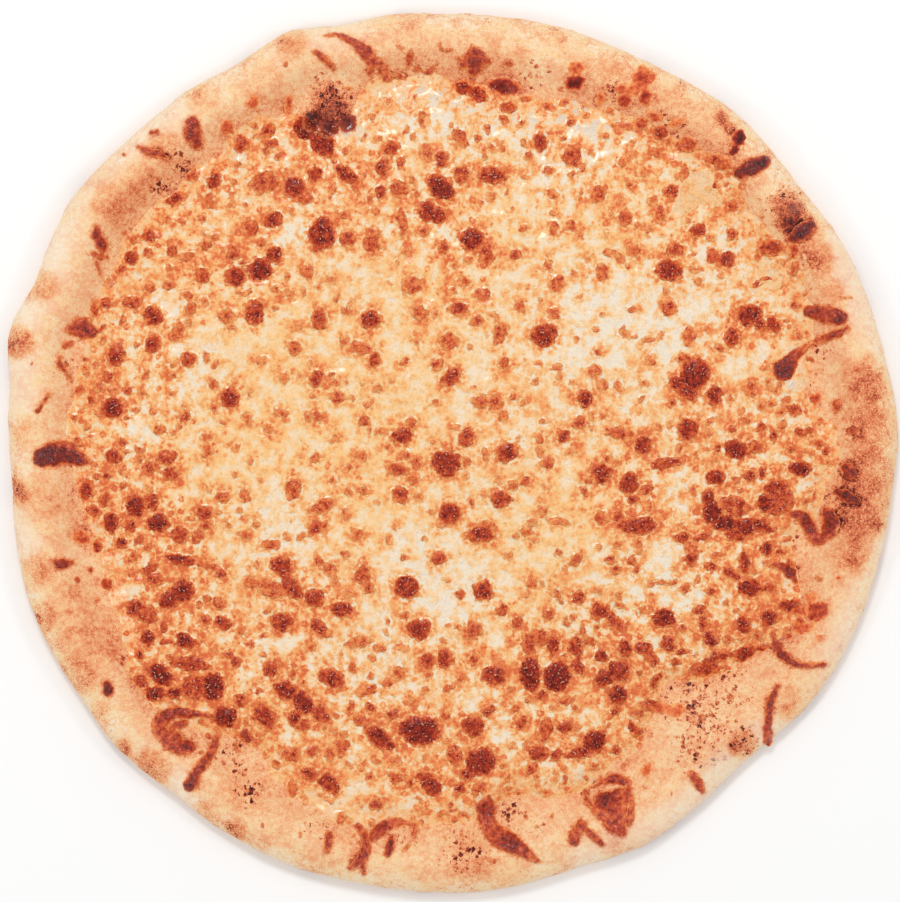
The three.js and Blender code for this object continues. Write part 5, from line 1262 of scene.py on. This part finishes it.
def crust_material(browning, freckles, charring):
    """Baked dough: cream and tan, fat stained by the cheese, toasted, floured and charred in places."""
    material, g, shader, place = new_material("baked_dough")
    dots, inset, beyond = g.field("dots"), g.field("inset"), g.field("beyond")
    wide = g.noise(place, 45.0, 2.0, flat=False)
    middle = g.noise(place, 170.0, 2.0, 0.6, flat=False)
    small = g.noise(place, 640.0, 2.0, 0.65, flat=False)
    grain = g.noise(place, 2300.0, 1.0, 0.7, flat=False)
    floury = g.ease(g.add(inset, g.centred(wide, 26.0)), 10.0, 0.0)
    near = g.ease(g.add(beyond, g.centred(middle, 12.0)), 9.0, -0.5)
    patch = g.times(g.ease(g.add(g.field("toast"), g.centred(middle, 0.3)), 0.0, 0.8),
                    g.ease(g.add(beyond, g.centred(small, 8.0)), -1.0, 5.0))

    # Tone: uneven, paler under flour, darker by the cheese, with its freckles, and where toasted.
    tone = g.add(g.centred(wide, 0.35), g.centred(middle, 0.35), g.centred(small, 0.5), 0.34)
    tone = g.less(tone, g.times(floury, 0.16))
    tone = g.add(tone, g.times(near, 0.08),
                 g.times(near, 0.8, g.group(freckles, Place=place)["Tone"]),
                 g.times(g.field("baked"), 0.08), g.times(patch, 0.34))
    rough = g.scaled(floury, 0.6, g.ease(patch, 0.0, 0.6, 0.6, 0.25))
    tone = g.add(tone, g.times(g.centred(grain, 1.0), rough))
    pale = g.times(g.ease(g.noise(place, 1500.0, 1.0, 0.6), 0.53, 0.66), patch)
    tone = g.less(tone, g.times(pale, 0.17))

    # Brown specks by the outline, stains round the flakes, charred bubbles and bursts of dots.
    speck = g.times(g.ease(inset, 8.0, 1.0), g.ease(g.add(grain, middle), 1.16, 1.3, 0.0, 0.24))
    smear = g.ease(g.add(g.field("stain"), g.centred(small, 2.4)), -1.8, 0.2, 0.0, 0.2)
    burnt = g.group(charring, Place=place, Char=g.field("char"))["Tone"]
    tone = g.add(tone, speck, smear, burnt)
    moved = g.ragged(place, 1100.0, 0.0008)
    for scale, deepest in ((480.0, 0.42), (860.0, 0.34)):
        away, lot, other = g.cells(moved, scale)
        depth = g.less(g.scaled(dots, 0.56, g.add(lot, -1.0)), g.times(away, 0.9))
        dot = g.times(g.ease(depth, -0.16, 0.06, 0.0, deepest), g.ease(other, 0.0, 1.0, 0.6, 1.0),
                      g.ease(dots, 0.0, 0.08))
        tone = g.add(tone, dot)

    # Colour: the ramp with a glow round blisters, blush and straw, blisters over it, flour.
    halo = g.times(g.field("halo"), g.ease(small, 0.35, 0.6, 0.06, 0.16))
    tint = g.ramp(g.add(tone, halo), DOUGH_TONES)
    blush = g.times(g.ease(g.add(middle, small), 0.98, 1.14), g.ease(tone, 0.62, 0.42), 0.45)
    tint = g.mix(blush, tint, DOUGH_BLUSH)
    straw = g.times(g.ease(g.less(small, middle), 0.0, 0.14), g.ease(tone, 0.5, 0.3), 0.4)
    tint = g.mix(straw, tint, DOUGH_STRAW)
    brown = g.group(browning, Place=place, Edge=g.field("edge"), Burn=g.field("burn"), Mottle=0.42)
    tint = g.mix(brown["Cover"], tint, g.ramp(brown["Tone"], CHEESE_TONES))
    dust = g.add(g.field("flour"), g.centred(g.add(middle, grain), 0.7))
    dust = g.less(dust, g.scaled(patch, 1.2, 0.35))
    tint = g.mix(g.ease(dust, 0.0, 0.9, 0.0, 0.45), tint, DOUGH_FLOUR)

    # Underside: pale and tan, with dark baked patches and flour.
    sole = g.mix(g.ease(middle, 0.35, 0.65), SOLE_PALE, SOLE_TAN)
    sole = g.mix(g.times(g.ease(wide, 0.54, 0.64), 0.7), sole, SOLE_DARK)
    sole = g.mix(g.times(g.ease(small, 0.5, 0.66), 0.5), sole, SOLE_FLOUR)

    height = g.add(g.times(middle, 0.6), g.times(small, 0.6), g.times(grain, 0.3),
                   g.times(brown["Height"], 0.4))
    g.fill(shader, {
        "Base Color": g.mix(g.field("under"), tint, sole),
        "Normal": g.bump(height, 0.7, 0.0006),
        "Roughness": g.ease(middle, 0.3, 0.7, 0.6, 0.8),
        "Specular IOR Level": 0.3,
    })
    return material


# ---------------------------------------------------------------- stage, lights and camera

def floor_piece():
    """A plain pale floor, six metres across."""
    half = 3.0
    corners = [(-half, -half, 0), (half, -half, 0), (half, half, 0), (-half, half, 0)]
    mesh = bpy.data.meshes.new("floor")
    mesh.from_pydata(corners, [], [(0, 1, 2, 3)])
    material = bpy.data.materials.new("pale_floor")
    material.use_nodes = True
    shader = material.node_tree.nodes["Principled BSDF"]
    shader.inputs["Base Color"].default_value = FLOOR_WHITE
    shader.inputs["Roughness"].default_value = 0.9
    mesh.materials.append(material)
    floor = bpy.data.objects.new("floor", mesh)
    bpy.context.scene.collection.objects.link(floor)


def softbox(name, place, size, power):
    """A square, nearly white lamp at place, pointed at the middle of the pizza."""
    light = bpy.data.lights.new(name, "AREA")
    light.shape = "SQUARE"
    light.size = size
    light.energy = power
    light.color = (1.0, 0.99, 0.98)
    lamp = bpy.data.objects.new(name, light)
    lamp.location = place
    lamp.rotation_euler = (-Vector(place)).to_track_quat("-Z", "Y").to_euler()
    bpy.context.scene.collection.objects.link(lamp)


def studio():
    """White surroundings and three softboxes, of which the key stands on the +y side."""
    scene = bpy.context.scene
    scene.view_settings.view_transform = "Standard"
    scene.world = bpy.data.worlds.new("studio")
    scene.world.use_nodes = True
    background = scene.world.node_tree.nodes["Background"]
    background.inputs["Color"].default_value = (1.0, 1.0, 1.0, 1.0)
    background.inputs["Strength"].default_value = 0.7
    softbox("key", (-0.12, 0.6, 1.2), 0.24, 4.3)
    softbox("fill", (-0.8, -0.3, 0.9), 0.2, 1.2)
    softbox("side", (0.8, 0.1, 0.9), 0.2, 1.2)


def camera_above():
    """A camera straight above, which sees 322.5 mm across at the height of the dough's nose."""
    view_width = 322.5 * MM
    view_middle = (-1.0 * MM, 0.6 * MM)
    distance = 1.6
    camera = bpy.data.cameras.new("camera")
    camera.sensor_fit = "HORIZONTAL"
    camera.sensor_width = 36.0
    camera.lens = camera.sensor_width * (distance - NOSE_HEIGHT * MM) / view_width
    eye = bpy.data.objects.new("camera", camera)
    eye.location = (*view_middle, distance)
    bpy.context.scene.collection.objects.link(eye)
    bpy.context.scene.camera = eye


# ---------------------------------------------------------------- making

studio()
camera_above()
floor_piece()
browning, freckles, web, charring = browning_group(), freckle_group(), web_group(), charring_group()
flake_finish = flake_material(browning)
crust_piece(crust_material(browning, freckles, charring))
cheese_piece(cheese_material(browning, freckles, web, charring))
for number, (name, strands) in enumerate(FLAKES.items()):
    flake_piece(name, strands, 900 + 10 * number, flake_finish)
crumbs_piece(flake_finish)
